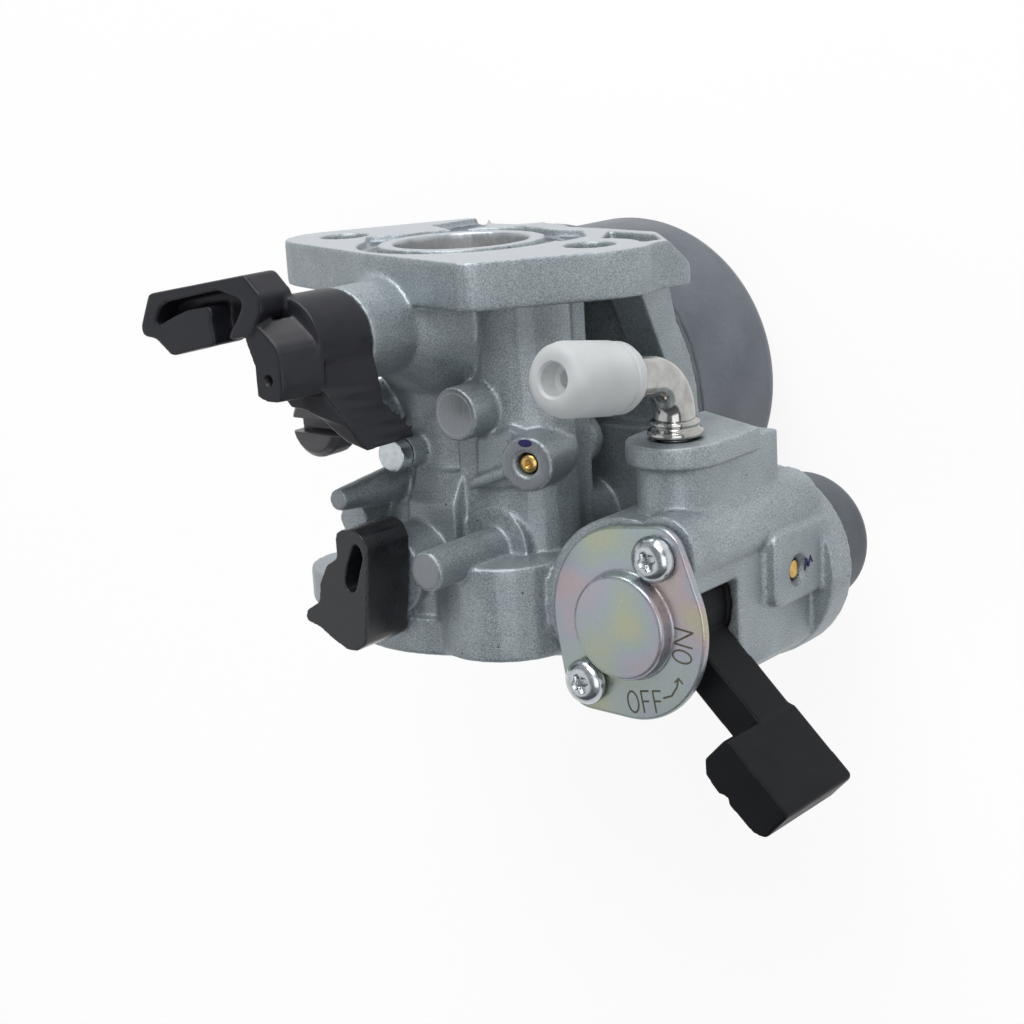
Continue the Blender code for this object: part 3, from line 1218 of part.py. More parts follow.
def idle_stop():
    """Slotted idle-stop screw and the spring that keeps it from turning."""
    y = -IDLE_FROM_ENGINE
    head_bottom = IDLE_BOSS_TOP + 2 * GAP + IDLE_SPRING_LENGTH
    head_top = head_bottom + IDLE_HEAD_T
    head_r, shank_r = IDLE_HEAD_D / 2, IDLE_SCREW_D / 2
    edge = IDLE_HEAD_EDGE
    tail = IDLE_BOSS_TOP - IDLE_SCREW_DEPTH
    profile = [
        (0, head_top),
        (head_r - edge, head_top),
        (head_r, head_top - edge),
        (head_r, head_bottom),
        (shank_r, head_bottom),
        (shank_r, tail),
        (0, tail),
    ]
    screw = turned("idle_screw", profile, IDLE_X, y)
    slot_low = (IDLE_X - IDLE_HEAD_D, y - IDLE_SLOT_W / 2, head_top - IDLE_SLOT_DEPTH)
    slot_high = (IDLE_X + IDLE_HEAD_D, y + IDLE_SLOT_W / 2, head_top + PAST)
    cut(screw, block("idle_slot", slot_low, slot_high))
    part(screw, "idle_stop_screw", BLACK_PLASTIC, pivot_at("idle_screw_pivot", (IDLE_X, y, head_bottom)))
    wire_r = IDLE_SPRING_WIRE_D / 2
    coil_r = shank_r + GAP + wire_r
    low, high = IDLE_BOSS_TOP + GAP + wire_r, head_bottom - GAP - wire_r
    count = IDLE_SPRING_CURLS * SPRING_POINTS_A_CURL
    points = []
    for step in range(count + 1):
        angle = 2 * math.pi * step / SPRING_POINTS_A_CURL
        z = low + (high - low) * step / count
        points.append((IDLE_X + coil_r * math.cos(angle), y + coil_r * math.sin(angle), z))
    gap = least_gap(points, IDLE_SPRING_WIRE_D, SPRING_POINTS_A_CURL)
    print(f"idle_stop_spring: least gap to itself {gap / MM:.2f} mm")
    part(tube("idle_spring", points, wire_r, bevel_resolution=1), "idle_stop_spring", STEEL)


def small_screws():
    """Pilot jet beside the idle-stop screw, and the sunk mixture screw."""
    seat = JET_BOSS_TOP + GAP
    jet = post("pilot_head", JET_X, -JET_FROM_ENGINE, seat, seat + JET_HEAD_T, JET_HEAD_D / 2)
    jet_floor, jet_neck = JET_BOSS_TOP - JET_DEPTH, seat + JET_HEAD_T / 2
    add(jet, post("pilot_shank", JET_X, -JET_FROM_ENGINE, jet_floor, jet_neck, JET_D / 2))
    part(jet, "pilot_jet", ZINC_STEEL)
    face = mixture_place(MIXTURE_SCREW_SUNK)
    end = mixture_place(MIXTURE_SCREW_SUNK + MIXTURE_SCREW_LENGTH)
    screw = rod("mixture", end, face, MIXTURE_SCREW_D / 2, sides=SMALL_SIDES)
    part(screw, "mixture_screw", BRASS, pivot_at("mixture_pivot", face))


# Fuel cock, sediment cup and fuel inlet


def cock_plate():
    """Lobed plate with a raised round centre, held by two screws."""
    middle = (COCK_X + PLATE_SHIFT_X, COCK_Y + PLATE_SHIFT_Y)
    points = arc(middle, PLATE_D / 2, 0, 360, 2 * SIDES)[:-1]
    for place in plate_screw_places():
        points += arc(place, PLATE_LOBE_R, 0, 360, SIDES)[:-1]
    outline = [points[index] for index in convex_hull_2d(points)]
    plate = prism("plate", outline, PLATE_BOTTOM, PLATE_TOP)
    dome_r, dome_top = PLATE_DOME_D / 2, PLATE_TOP + PLATE_DOME_RISE
    dome_bottom = (PLATE_BOTTOM + PLATE_TOP) / 2
    add(plate, post("dome", *middle, dome_bottom, dome_top, dome_r, dome_r - PLATE_DOME_TAPER))
    hollow_r, hollow_top = dome_r - 2 * PLATE_T, dome_top - PLATE_T
    hollow = post("dome_hollow", *middle, PLATE_BOTTOM - PAST, hollow_top, hollow_r)
    hole_r = PLATE_SCREW_D / 2 + GAP
    holes = [
        post("plate_hole", *place, PLATE_BOTTOM - PAST, PLATE_TOP + PAST, hole_r, sides=SMALL_SIDES)
        for place in plate_screw_places()
    ]
    part(cut(plate, hollow, *holes), "cock_plate", YELLOW_ZINC)
    seat = PLATE_TOP + GAP
    for number, place in enumerate(plate_screw_places(), start=1):
        name = f"plate_screw_{number}"
        head_r, shank_r = PLATE_SCREW_HEAD_D / 2, PLATE_SCREW_D / 2
        crown = head_r - PLATE_SCREW_HEAD_T / 2
        head_top = seat + PLATE_SCREW_HEAD_T
        tail = COCK_TOP - PLATE_SCREW_DEPTH
        profile = [(0, head_top), (crown, head_top), (head_r, seat + PLATE_SCREW_HEAD_T / 2), (head_r, seat)]
        profile += [(shank_r, seat), (shank_r, tail), (0, tail)]
        part(turned(f"{name}_solid", profile, *place, SMALL_SIDES), name, ZINC_STEEL)


def fuel_lever():
    """Lever that turns in the cock: a round base, a stem through the window and a tall finger tab."""
    base_r = COCK_CAVITY_D / 2 - GAP
    lever = post("lever_base", 0, 0, LEVER_BOTTOM, LEVER_STEM_TOP, base_r)
    low, high = LEVER_STEM_OFFSET - LEVER_STEM_W / 2, LEVER_STEM_OFFSET + LEVER_STEM_W / 2
    stem = [(0, low), (LEVER_STEM_REACH, low), (LEVER_STEM_REACH, high), (0, high)]
    tab_top = LEVER_STEM_TOP + LEVER_PADDLE_RISE
    stem_solid = prism("lever_stem", rounded(stem, LEVER_EDGE_R), LEVER_BOTTOM, LEVER_STEM_TOP)
    tab_solid = prism("lever_tab", rounded(TAB_OUTLINE, LEVER_TAB_EDGE_R, 3), LEVER_BOTTOM - GAP, tab_top)
    place = Matrix.Translation((COCK_X, COCK_Y, 0)) @ Matrix.Rotation(LEVER_REST_TURN, 4, "Z")
    for solid in (lever, stem_solid, tab_solid):
        solid.matrix_basis = place
    add(lever, stem_solid, tab_solid)
    part(lever, "fuel_lever", BLACK_PLASTIC, pivot_at("fuel_lever_pivot", (COCK_X, COCK_Y, LEVER_BOTTOM)))


def cock_inside():
    """Packing with its fuel holes under the lever, and the wave spring between lever and plate."""
    bottom = COCK_CAVITY_FLOOR + GAP
    radius = COCK_CAVITY_D / 2 - GAP
    packing = post("packing", COCK_X, COCK_Y, bottom, bottom + PACKING_T, radius)
    holes = []
    for angle in np.radians((0, 120, 240)):
        x = COCK_X + PACKING_HOLE_CIRCLE_D / 2 * math.cos(angle)
        y = COCK_Y + PACKING_HOLE_CIRCLE_D / 2 * math.sin(angle)
        hole_r = PACKING_HOLE_D / 2
        holes.append(post("packing_hole", x, y, bottom - PAST, bottom + PACKING_T + PAST, hole_r, sides=12))
    part(cut(packing, *holes), "cock_packing", RUBBER)
    low, high = LEVER_STEM_TOP + GAP, PLATE_BOTTOM - GAP
    inner = radius - 1.5 * WAVE_SPRING_W
    middle = (low + high - WAVE_SPRING_T) / 2
    spring = ring("wave", inner, inner + WAVE_SPRING_W, middle, middle + WAVE_SPRING_T, COCK_X, COCK_Y, 36)
    spring = welded_mesh(spring)
    rise = (high - low - WAVE_SPRING_T) / 2
    for vertex in spring.data.vertices:
        angle = math.atan2(vertex.co.y - COCK_Y, vertex.co.x - COCK_X)
        vertex.co.z += rise * math.cos(WAVE_SPRING_LOBES * angle)
    part(spring, "cock_wave_spring", STEEL)


def brass_plug():
    """Small pressed plug in the pad on the cock's side."""
    plug = plug_place()
    face = PAD_X - PLUG_RECESS_DEPTH
    inner_end = (face - PLUG_LENGTH + GAP, *plug)
    part(rod("plug", inner_end, (face, *plug), PLUG_D / 2, sides=SMALL_SIDES), "brass_plug", BRASS)


def sediment_cup():
    """Screw-in cup under the cock, with its ring seal and the strainer that hangs in it."""
    collar_r = CUP_BORE_D / 2 - GAP
    inner = collar_r - CUP_WALL
    collar_top = COCK_BOTTOM + CUP_COLLAR_H
    bottom = CUP_TOP - CUP_DEPTH
    cup_r, flange_r = CUP_D / 2, CUP_FLANGE_D / 2
    floor = bottom + CUP_WALL
    profile = [(0, floor), (inner, floor), (inner, collar_top), (collar_r, collar_top)]
    profile += [(collar_r, CUP_TOP), (flange_r, CUP_TOP), (flange_r, CUP_TOP - CUP_FLANGE_T)]
    profile.append((cup_r, CUP_TOP - CUP_FLANGE_T))
    profile += arc((cup_r - CUP_CORNER_R, bottom + CUP_CORNER_R), CUP_CORNER_R, 0, -90, 4)
    profile.append((0, bottom))
    cup = turned("cup", profile, COCK_X, COCK_Y)
    nub_top, nub_r = bottom + CUP_WALL / 2, CUP_HEX_FLATS / math.sqrt(3)
    add(cup, post("cup_hex", COCK_X, COCK_Y, bottom - CUP_HEX_T, nub_top, nub_r, sides=6))
    part(cup, "sediment_cup", BOWL_STEEL)
    seal_r = O_RING_D / 2
    section = arc((collar_r + GAP + seal_r, COCK_BOTTOM - GAP - seal_r), seal_r, 90, -270, 8)
    part(turned("seal", section[:-1], COCK_X, COCK_Y), "cup_o_ring", RUBBER)
    flange_bottom = collar_top + GAP
    flange_top = flange_bottom + STRAINER_FLANGE_T
    outer = STRAINER_D / 2
    hollow = outer - STRAINER_WALL
    foot = flange_top - STRAINER_DEPTH
    profile = [(0, foot + STRAINER_WALL), (hollow, foot + STRAINER_WALL), (hollow, flange_top)]
    profile += [(collar_r, flange_top), (collar_r, flange_bottom), (outer, flange_bottom)]
    profile += [(outer, foot), (0, foot)]
    part(turned("strainer", profile, COCK_X, COCK_Y), "fuel_strainer", MESH_PLASTIC)


def elbow_heading():
    """Direction of the elbow's open end."""
    return Vector((0, math.sin(TUBE_TILT), math.cos(TUBE_TILT)))


def elbow_path(start_past=0, end_past=0):
    """Centre line of the fuel elbow from its seat to its open end, or a little past them."""
    points = [Vector((ELBOW_X, INLET_TOP_Y - TUBE_SEAT_DEPTH - start_past, ELBOW_Z))]
    for angle in np.linspace(0, math.pi / 2 - TUBE_TILT, 8):
        across, up = TUBE_BEND_R * math.sin(angle), TUBE_BEND_R * (1 - math.cos(angle))
        points.append(Vector((ELBOW_X, INLET_TOP_Y + TUBE_RISE + across, ELBOW_Z + up)))
    points.append(points[-1] + elbow_heading() * (TUBE_REACH + end_past))
    return points


def fuel_inlet():
    """Bent inlet tube with a bead at its foot, and the cap on its open end."""
    elbow = tube("elbow", elbow_path(), TUBE_D / 2, bevel_resolution=5)
    bead_low = Vector((ELBOW_X, INLET_TOP_Y + GAP, ELBOW_Z))
    add(elbow, rod("elbow_bead", bead_low, bead_low + Y_AXIS * TUBE_BEAD_T, TUBE_BEAD_D / 2))
    cut(elbow, tube("elbow_bore", elbow_path(PAST, PAST), TUBE_BORE_D / 2, bevel_resolution=2))
    part(elbow, "fuel_elbow", STEEL)
    heading = elbow_heading()
    tube_end = elbow_path()[-1]
    mouth = tube_end - heading * CAP_OVERLAP
    crown = mouth + heading * CAP_LENGTH
    cap = rod("cap", mouth, crown, CAP_D / 2)
    socket = rod("cap_socket", mouth - heading * PAST, tube_end + heading * GAP, TUBE_D / 2 + GAP)
    dimple = rod("cap_dimple", crown - heading * CAP_DIMPLE_DEPTH, crown + heading * PAST, CAP_DIMPLE_D / 2)
    part(cut(cap, socket, dimple), "inlet_cap", MILKY_PLASTIC, pivot_at("cap_slide", mouth))


carburetor_body()
float_bowl()
bowl_fasteners()
jets()
float_set()
throttle_and_choke()
idle_stop()
small_screws()
cock_plate()
fuel_lever()
cock_inside()
brass_plug()
sediment_cup()
fuel_inlet()
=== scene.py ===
"""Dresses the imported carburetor: cast body, pressed bowl, moulded levers, plated hardware, white studio."""

import json
import logging
import math
from dataclasses import dataclass
from enum import Enum

import bmesh
import bpy
from bmesh import ops
from mathutils import Matrix, Vector


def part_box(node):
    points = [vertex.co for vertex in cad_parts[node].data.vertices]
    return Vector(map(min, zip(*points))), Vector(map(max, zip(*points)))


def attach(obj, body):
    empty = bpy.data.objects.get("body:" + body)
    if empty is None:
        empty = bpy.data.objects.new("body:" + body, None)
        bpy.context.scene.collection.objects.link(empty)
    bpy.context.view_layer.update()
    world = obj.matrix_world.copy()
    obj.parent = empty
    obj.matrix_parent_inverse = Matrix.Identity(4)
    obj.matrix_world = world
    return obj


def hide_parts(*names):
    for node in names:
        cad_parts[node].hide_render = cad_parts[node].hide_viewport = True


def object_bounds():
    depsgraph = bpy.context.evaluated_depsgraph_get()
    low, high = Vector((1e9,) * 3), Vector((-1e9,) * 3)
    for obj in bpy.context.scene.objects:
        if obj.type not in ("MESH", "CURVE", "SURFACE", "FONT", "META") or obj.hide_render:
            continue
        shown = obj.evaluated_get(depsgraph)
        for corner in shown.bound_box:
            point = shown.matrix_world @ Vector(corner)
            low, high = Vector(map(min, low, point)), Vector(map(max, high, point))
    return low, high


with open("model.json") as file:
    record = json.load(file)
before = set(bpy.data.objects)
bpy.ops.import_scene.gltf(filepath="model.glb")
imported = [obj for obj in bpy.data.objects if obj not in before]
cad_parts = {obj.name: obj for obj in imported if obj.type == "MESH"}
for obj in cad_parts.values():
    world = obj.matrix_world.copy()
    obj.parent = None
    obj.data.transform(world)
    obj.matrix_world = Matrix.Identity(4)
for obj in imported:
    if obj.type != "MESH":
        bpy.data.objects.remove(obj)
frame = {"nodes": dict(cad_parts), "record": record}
CAD_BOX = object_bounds()
LOG = logging.getLogger("carburetor")
MM = 0.001
UP = Vector((0, 0, 1))
placed = Matrix.Translation
Triple = tuple[float, float, float]
Profile = list[tuple[float, float]]
Socket = bpy.types.NodeSocket
Material = bpy.types.Material
Piece = bpy.types.Object
Work = bmesh.types.BMesh
Vert = bmesh.types.BMVert
Edge = bmesh.types.BMEdge


class Body(Enum):
    """The moving bodies that a piece can ride on."""

    MAIN = "main"
    THROTTLE = "throttle"
    CHOKE = "choke"
    COCK = "fuel_cock"
    IDLE = "idle_screw"
    MIXTURE = "mixture"
    CAP = "cap"


class Wiring:
    """The node tree of one material, with short calls to add and link nodes."""

    LOW, HIGH = 0.3, 0.7  # most of a noise's values lie between these

    def __init__(self, name: str) -> None:
        """Starts a material with its usual shader.

        Args:
            name: The material's name.
        """
        self.material = bpy.data.materials.new(name)
        self.material.use_nodes = True
        self.tree = self.material.node_tree
        self.shader = self.tree.nodes["Principled BSDF"]
        self.place = self.add("ShaderNodeTexCoord").outputs["Object"]

    def add(self, kind: str, **settings: object) -> bpy.types.Node:
        """Adds a node.

        Args:
            kind: The node's type.
            settings: Values of its sockets, with spaces written as underscores, or its properties.

        Returns:
            The new node.
        """
        node = self.tree.nodes.new(kind)
        for key, value in settings.items():
            socket = node.inputs.get(key.replace("_", " "))
            if socket is None:
                setattr(node, key, value)
            else:
                socket.default_value = value
        return node

    def link(self, source: Socket, target: Socket) -> None:
        """Links two sockets."""
        self.tree.links.new(source, target)

    def drive(self, socket: str, source: Socket) -> None:
        """Links a value to one of the shader's sockets."""
        self.link(source, self.shader.inputs[socket])

    def surface(self, **values: object) -> None:
        """Sets constant values on the shader's sockets, with spaces written as underscores."""
        for key, value in values.items():
            self.shader.inputs[key.replace("_", " ")].default_value = value

    def noise(self, grain: float, detail: float = 2.0, stretch: Triple = (1.0, 1.0, 1.0)) -> Socket:
        """Adds a noise over the piece.

        Args:
            grain: Size of the noise's features in metres.
            detail: Number of finer layers in it.
            stretch: Factors along the three axes.

        Returns:
            The noise's value.
        """
        mapping = self.add("ShaderNodeMapping", Scale=stretch)
        self.link(self.place, mapping.inputs["Vector"])
        noise = self.add("ShaderNodeTexNoise", Scale=1.0 / grain, Detail=detail)
        self.link(mapping.outputs["Vector"], noise.inputs["Vector"])
        return noise.outputs["Fac"]

    def ramp(self, value: Socket, stops: list[tuple[float, Triple]]) -> Socket:
        """Turns a value into a colour.

        Args:
            value: The value to read.
            stops: Places along the ramp and their colours.

        Returns:
            The colour.
        """
        ramp = self.add("ShaderNodeValToRGB")
        marks = ramp.color_ramp.elements
        while len(marks) < len(stops):
            marks.new(0.5)
        for mark, (place, colour) in zip(marks, stops):
            mark.position = place
            mark.color = (*colour, 1.0)
        self.link(value, ramp.inputs["Fac"])
        return ramp.outputs["Color"]

    def grey(self, value: Socket, low: float, high: float, start: float = LOW, end: float = HIGH) -> Socket:
        """Turns a value into a grey that goes from low to high between two places."""
        return self.ramp(value, [(start, (low, low, low)), (end, (high, high, high))])

    def skin(self, value: Socket, dark: Triple, light: Triple, smooth: float, rough: float) -> None:
        """Drives the colour and the roughness by one value."""
        self.drive("Base Color", self.ramp(value, [(self.LOW, dark), (self.HIGH, light)]))
        self.drive("Roughness", self.span(value, smooth, rough))

    def times(self, first: Socket, second: Socket) -> Socket:
        """Multiplies two colours."""
        mix = self.add("ShaderNodeMix", data_type="RGBA", blend_type="MULTIPLY", Factor=1.0)
        self.link(first, mix.inputs[6])
        self.link(second, mix.inputs[7])
        return mix.outputs[2]

    def span(self, value: Socket, low: float, high: float) -> Socket:
        """Stretches a value from the noise's usual middle range to low and high."""
        limits = {"From_Min": self.LOW, "From_Max": self.HIGH, "To_Min": low, "To_Max": high}
        stretch = self.add("ShaderNodeMapRange", **limits)
        self.link(value, stretch.inputs["Value"])
        return stretch.outputs["Result"]

    def relief(self, height: Socket, depth: float, strength: float = 1.0) -> None:
        """Raises the surface by a height, after any relief that is already there."""
        bump = self.add("ShaderNodeBump", Distance=depth, Strength=strength)
        self.link(height, bump.inputs["Height"])
        before = self.shader.inputs["Normal"]
        if before.is_linked:
            self.link(before.links[0].from_socket, bump.inputs["Normal"])
        self.link(bump.outputs["Normal"], before)


@dataclass(frozen=True)
class CastMetal:
    """Die-cast alloy with a fine bright grain and a few dark pits."""

    name: str
    dark: Triple
    light: Triple
    grain: float = 0.2 * MM
    depth: float = 0.045 * MM
    speckle: float = 0.38
    smooth: float = 0.32
    rough: float = 0.54
    metal: float = 0.56
    pit: float = 0.785
    pit_size: float = 0.9 * MM
    pit_depth: float = 0.12 * MM
    cloud: float = 8.0 * MM
    wave: float = 2.2 * MM
    wave_depth: float = 0.09 * MM

    def make(self) -> Material:
        """Makes the material."""
        wiring = Wiring(self.name)
        wiring.surface(Metallic=self.metal)
        clouds = wiring.noise(self.cloud, 4.0)
        tint = wiring.ramp(clouds, [(0.32, self.dark), (0.68, self.light)])
        grains = wiring.noise(self.grain, 3.0)
        fleck = wiring.grey(grains, 1.0 - self.speckle, 1.0 + self.speckle)
        pits = wiring.noise(self.pit_size, 1.0)
        hollow = wiring.grey(pits, 1.0, 0.3, self.pit, self.pit + 0.02)
        wiring.drive("Base Color", wiring.times(wiring.times(tint, fleck), hollow))
        wiring.drive("Roughness", wiring.span(grains, self.smooth, self.rough))
        wiring.relief(grains, self.depth)
        wiring.relief(hollow, self.pit_depth)
        wiring.relief(wiring.noise(self.wave, 3.0), self.wave_depth, 0.6)
        return wiring.material


@dataclass(frozen=True)
class BrightMetal:
    """Smooth steel, zinc plate or brass with faint marks of handling."""

    name: str
    dark: Triple
    light: Triple
    smooth: float
    rough: float
    marks: float = 0.9 * MM
    dent: float = 0.01 * MM
    bump: float = 0.4
    metal: float = 1.0
    stretch: Triple = (1.0, 1.0, 1.0)

    def make(self) -> Material:
        """Makes the material."""
        wiring = Wiring(self.name)
        wiring.surface(Metallic=self.metal)
        marks = wiring.noise(self.marks, 4.0, self.stretch)
        wiring.skin(marks, self.dark, self.light, self.smooth, self.rough)
        wiring.relief(marks, self.dent, self.bump)
        return wiring.material


@dataclass(frozen=True)
class MilledMetal(BrightMetal):
    """Freshly cut alloy with faint tool lines, also darkened to paint the shade on the floor of a groove."""

    smooth: float = 0.3
    rough: float = 0.46
    marks: float = 1.4 * MM
    dent: float = 0.008 * MM
    bump: float = 0.6
    metal: float = 0.7
    stretch: Triple = (1.0, 1.0, 14.0)


@dataclass(frozen=True)
class RainbowZinc:
    """Yellow zinc plate, grey-green with pink, violet and straw clouds."""

    name: str
    cloud: float = 9.0 * MM
    marks: float = 0.7 * MM
    dent: float = 0.006 * MM
    tints: tuple[tuple[float, Triple], ...] = (
        (0.3, (0.4, 0.42, 0.3)),
        (0.4, (0.35, 0.4, 0.36)),
        (0.49, (0.34, 0.39, 0.4)),
        (0.57, (0.36, 0.37, 0.42)),
        (0.65, (0.42, 0.36, 0.385)),
        (0.75, (0.43, 0.4, 0.31)),
    )

    def make(self) -> Material:
        """Makes the material."""
        wiring = Wiring(self.name)
        wiring.surface(Metallic=0.75)
        clouds = wiring.ramp(wiring.noise(self.cloud, 1.0), list(self.tints))
        marks = wiring.noise(self.marks, 4.0)
        wiring.drive("Base Color", wiring.times(clouds, wiring.grey(marks, 0.95, 1.03)))
        wiring.drive("Roughness", wiring.span(marks, 0.24, 0.36))
        wiring.relief(marks, self.dent, 0.4)
        return wiring.material


@dataclass(frozen=True)
class MouldedPlastic:
    """Moulded plastic or rubber with a fine skin."""

    name: str
    dark: Triple
    light: Triple
    smooth: float
    rough: float
    shine: float = 0.35
    cloud: float = 3.0 * MM
    grain: float = 0.25 * MM
    depth: float = 0.014 * MM
    wave: float = 4.0 * MM
    wave_depth: float = 0.08 * MM

    def make(self) -> Material:
        """Makes the material."""
        wiring = Wiring(self.name)
        wiring.surface(Specular_IOR_Level=self.shine)
        clouds = wiring.noise(self.cloud, 4.0)
        wiring.skin(clouds, self.dark, self.light, self.smooth, self.rough)
        wiring.relief(wiring.noise(self.grain), self.depth, 0.7)
        wiring.relief(wiring.noise(self.wave, 1.0), self.wave_depth, 0.5)
        return wiring.material


@dataclass(frozen=True)
class MilkyPlastic:
    """Soft translucent plastic."""

    name: str
    dark: Triple = (0.68, 0.7, 0.71)
    light: Triple = (0.76, 0.78, 0.78)
    cloud: float = 4.0 * MM
    grain: float = 0.5 * MM
    depth: float = 0.004 * MM

    def make(self) -> Material:
        """Makes the material."""
        wiring = Wiring(self.name)
        wiring.surface(Transmission_Weight=0.55, IOR=1.4, Specular_IOR_Level=0.5)
        wiring.skin(wiring.noise(self.cloud), self.dark, self.light, 0.4, 0.48)
        wiring.relief(wiring.noise(self.grain), self.depth, 0.4)
        return wiring.material


class Shop:
    """The finishes, made once, and the mesh work that the sub-assemblies share."""

    MERGE = 0.001 * MM
    MOST_TRIANGLES = 170_000
    CREASE = math.radians(35.0)
    BORE_LENGTH = 4.0 * MM

    def __init__(self) -> None:
        """Makes every finish of the record's material slots, and the few that only the scene has."""
        pressed = (0.3 * MM, 0.02 * MM, 0.14, 0.4, 0.5, 0.55, 0.86)
        finishes = {
            "die_casting": CastMetal("cast_alloy", (0.235, 0.268, 0.288), (0.315, 0.353, 0.372)),
            "bowl_metal": CastMetal("pressed_metal", (0.1, 0.114, 0.135), (0.136, 0.152, 0.175), *pressed),
            # shaded_cup_metal: a darker copy of the bowl's pressed metal, with the cup's shade painted into
            # its colour
            "shaded_cup_metal": CastMetal("shaded_cup_metal", (0.07, 0.08, 0.095), (0.098, 0.11, 0.126), *pressed),
            "steel": BrightMetal(
                "bright_steel", (0.34, 0.34, 0.33), (0.5, 0.5, 0.48), 0.1, 0.22, 1.8 * MM, 0.004 * MM
            ),
            "zinc_steel": BrightMetal("zinc_plate", (0.44, 0.48, 0.5), (0.62, 0.66, 0.68), 0.16, 0.3),
            "yellow_zinc": RainbowZinc("rainbow_zinc"),
            "brass": BrightMetal("turned_brass", (0.5, 0.32, 0.1), (0.68, 0.46, 0.18), 0.2, 0.34),
            "milky_plastic": MilkyPlastic("milky_plastic"),
            "milled": MilledMetal("milled_alloy", (0.36, 0.385, 0.42), (0.47, 0.5, 0.53)),
            "faced": MilledMetal(
                "faced_alloy", (0.2, 0.215, 0.23), (0.25, 0.265, 0.28), stretch=(6.0, 1.0, 1.0)
            ),
            # sunk: painted shade, a dark copy of the milled alloy for the floor of the groove in the engine
            # face, where shade falls in the recess
            "sunk": MilledMetal("groove_shade_alloy", (0.085, 0.105, 0.13), (0.12, 0.145, 0.175)),
        }
        plastics = {
            "black_plastic": ((0.005, 0.0055, 0.0072), (0.008, 0.0085, 0.0105), 0.36, 0.48, 0.1),
            "lever_plastic": ((0.009, 0.0095, 0.0135), (0.014, 0.0145, 0.019), 0.34, 0.46, 0.3),
            "float_plastic": ((0.05, 0.05, 0.05), (0.08, 0.08, 0.08), 0.5, 0.62),
            "strainer_plastic": ((0.6, 0.6, 0.56), (0.7, 0.7, 0.66), 0.4, 0.55),
            "rubber": ((0.014, 0.014, 0.014), (0.025, 0.025, 0.025), 0.6, 0.8),
            "grey_seal": ((0.09, 0.1, 0.11), (0.13, 0.14, 0.15), 0.5, 0.7),
            "fibre": ((0.28, 0.09, 0.06), (0.4, 0.14, 0.09), 0.65, 0.85),
            "screw_plastic": ((0.05, 0.05, 0.054), (0.07, 0.07, 0.074), 0.26, 0.36, 0.5),
            "gloss_black": ((0.009, 0.01, 0.012), (0.014, 0.015, 0.017), 0.22, 0.34, 0.5),
            "ink": ((0.008, 0.008, 0.05), (0.014, 0.014, 0.09), 0.4, 0.6),
            "stamping": ((0.05, 0.048, 0.03), (0.09, 0.085, 0.055), 0.5, 0.7),
        }
        finishes |= {slot: MouldedPlastic(slot, *values) for slot, values in plastics.items()}
        self.finishes = {slot: finish.make() for slot, finish in finishes.items()}
        self.slots = {part["node"]: part["material_slot"] for part in frame["record"]["subparts"]}
        self.joints = {joint["name"]: joint for joint in frame["record"]["behaviour"]["joints"]}
        for node, slot in self.slots.items():
            self.paint(frame["nodes"][node], slot)

    def paint(self, piece: Piece, *finishes: str) -> None:
        """Gives a piece its finishes, in the order of its faces' slots."""
        piece.data.materials.clear()
        for finish in finishes:
            piece.data.materials.append(self.finishes[finish])

    def copied(self, node: str) -> Work:
        """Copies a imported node's mesh and merges its loose triangles."""
        work = bmesh.new()
        work.from_mesh(frame["nodes"][node].data)
        ops.remove_doubles(work, verts=work.verts, dist=self.MERGE)
        return work

    def piece(self, name: str, work: Work) -> Piece:
        """Turns finished mesh work into an object, with smooth faces and sharp creases.

        Args:
            name: The piece's name.
            work: The mesh work, which is freed.

        Returns:
            The new object.
        """
        mesh = bpy.data.meshes.new(name)
        work.to_mesh(mesh)
        work.free()
        mesh.shade_smooth()
        mesh.set_sharp_from_angle(angle=self.CREASE)
        return shown(name, mesh)

    def applied(self, piece: Piece) -> None:
        """Bakes a piece's modifiers into its mesh."""
        bpy.context.view_layer.update()
        result = piece.evaluated_get(bpy.context.evaluated_depsgraph_get())
        baked = bpy.data.meshes.new_from_object(result)
        piece.modifiers.clear()
        piece.data = baked

    def carved(self, piece: Piece, cutter: Piece) -> None:
        """Cuts one piece out of another and removes the cutter."""
        hollow = piece.modifiers.new("hollow", "BOOLEAN")
        hollow.operation = "DIFFERENCE"
        hollow.object = cutter
        hollow.solver = "EXACT"
        self.applied(piece)
        bpy.data.objects.remove(cutter, do_unlink=True)

    def bored(self, piece: Piece, radius: float, place: Vector, sides: int) -> None:
        """Bores an upright hole through a piece.

        Args:
            piece: The piece.
            radius: The hole's radius.
            place: The middle of the cut.
            sides: Number of faces round the hole.
        """
        bore = bmesh.new()
        add_bar(bore, radius, self.BORE_LENGTH, placed(place), sides)
        self.carved(piece, self.piece("bore", bore))

    def eased(self, work: Work, edge: float) -> None:
        """Rounds the sharp edges of mesh work."""
        sharp = [line for line in work.edges if line.is_manifold and line.calc_face_angle() > self.CREASE]
        ops.bevel(work, geom=sharp, offset=edge, segments=3, profile=0.5, affect="EDGES", material=-1)

    def turned(
        self, profile: Profile, place: Matrix, edge: float = 0.0, steps: int = 48, closed: bool = False
    ) -> Work:
        """Spins a profile round an axis.

        Args:
            profile: Pairs of radius and height, in metres.
            place: Where the axis goes.
            edge: Width of the rounding on sharp corners.
            steps: Number of faces round the axis.
            closed: True for a ring, whose profile ends where it starts.

        Returns:
            The turned mesh work.
        """
        work = bmesh.new()
        corners = [work.verts.new((radius, 0.0, height)) for radius, height in profile]
        ends = corners[1:] + (corners[:1] if closed else [])
        lines = [work.edges.new(pair) for pair in zip(corners, ends)]
        ops.spin(
            work, geom=corners + lines, cent=(0, 0, 0), axis=UP, angle=math.tau, steps=steps, use_merge=True
        )
        ops.remove_doubles(work, verts=work.verts, dist=self.MERGE)
        ops.recalc_face_normals(work, faces=work.faces)
        if edge:
            self.eased(work, edge)
        ops.transform(work, matrix=place, verts=work.verts)
        return work

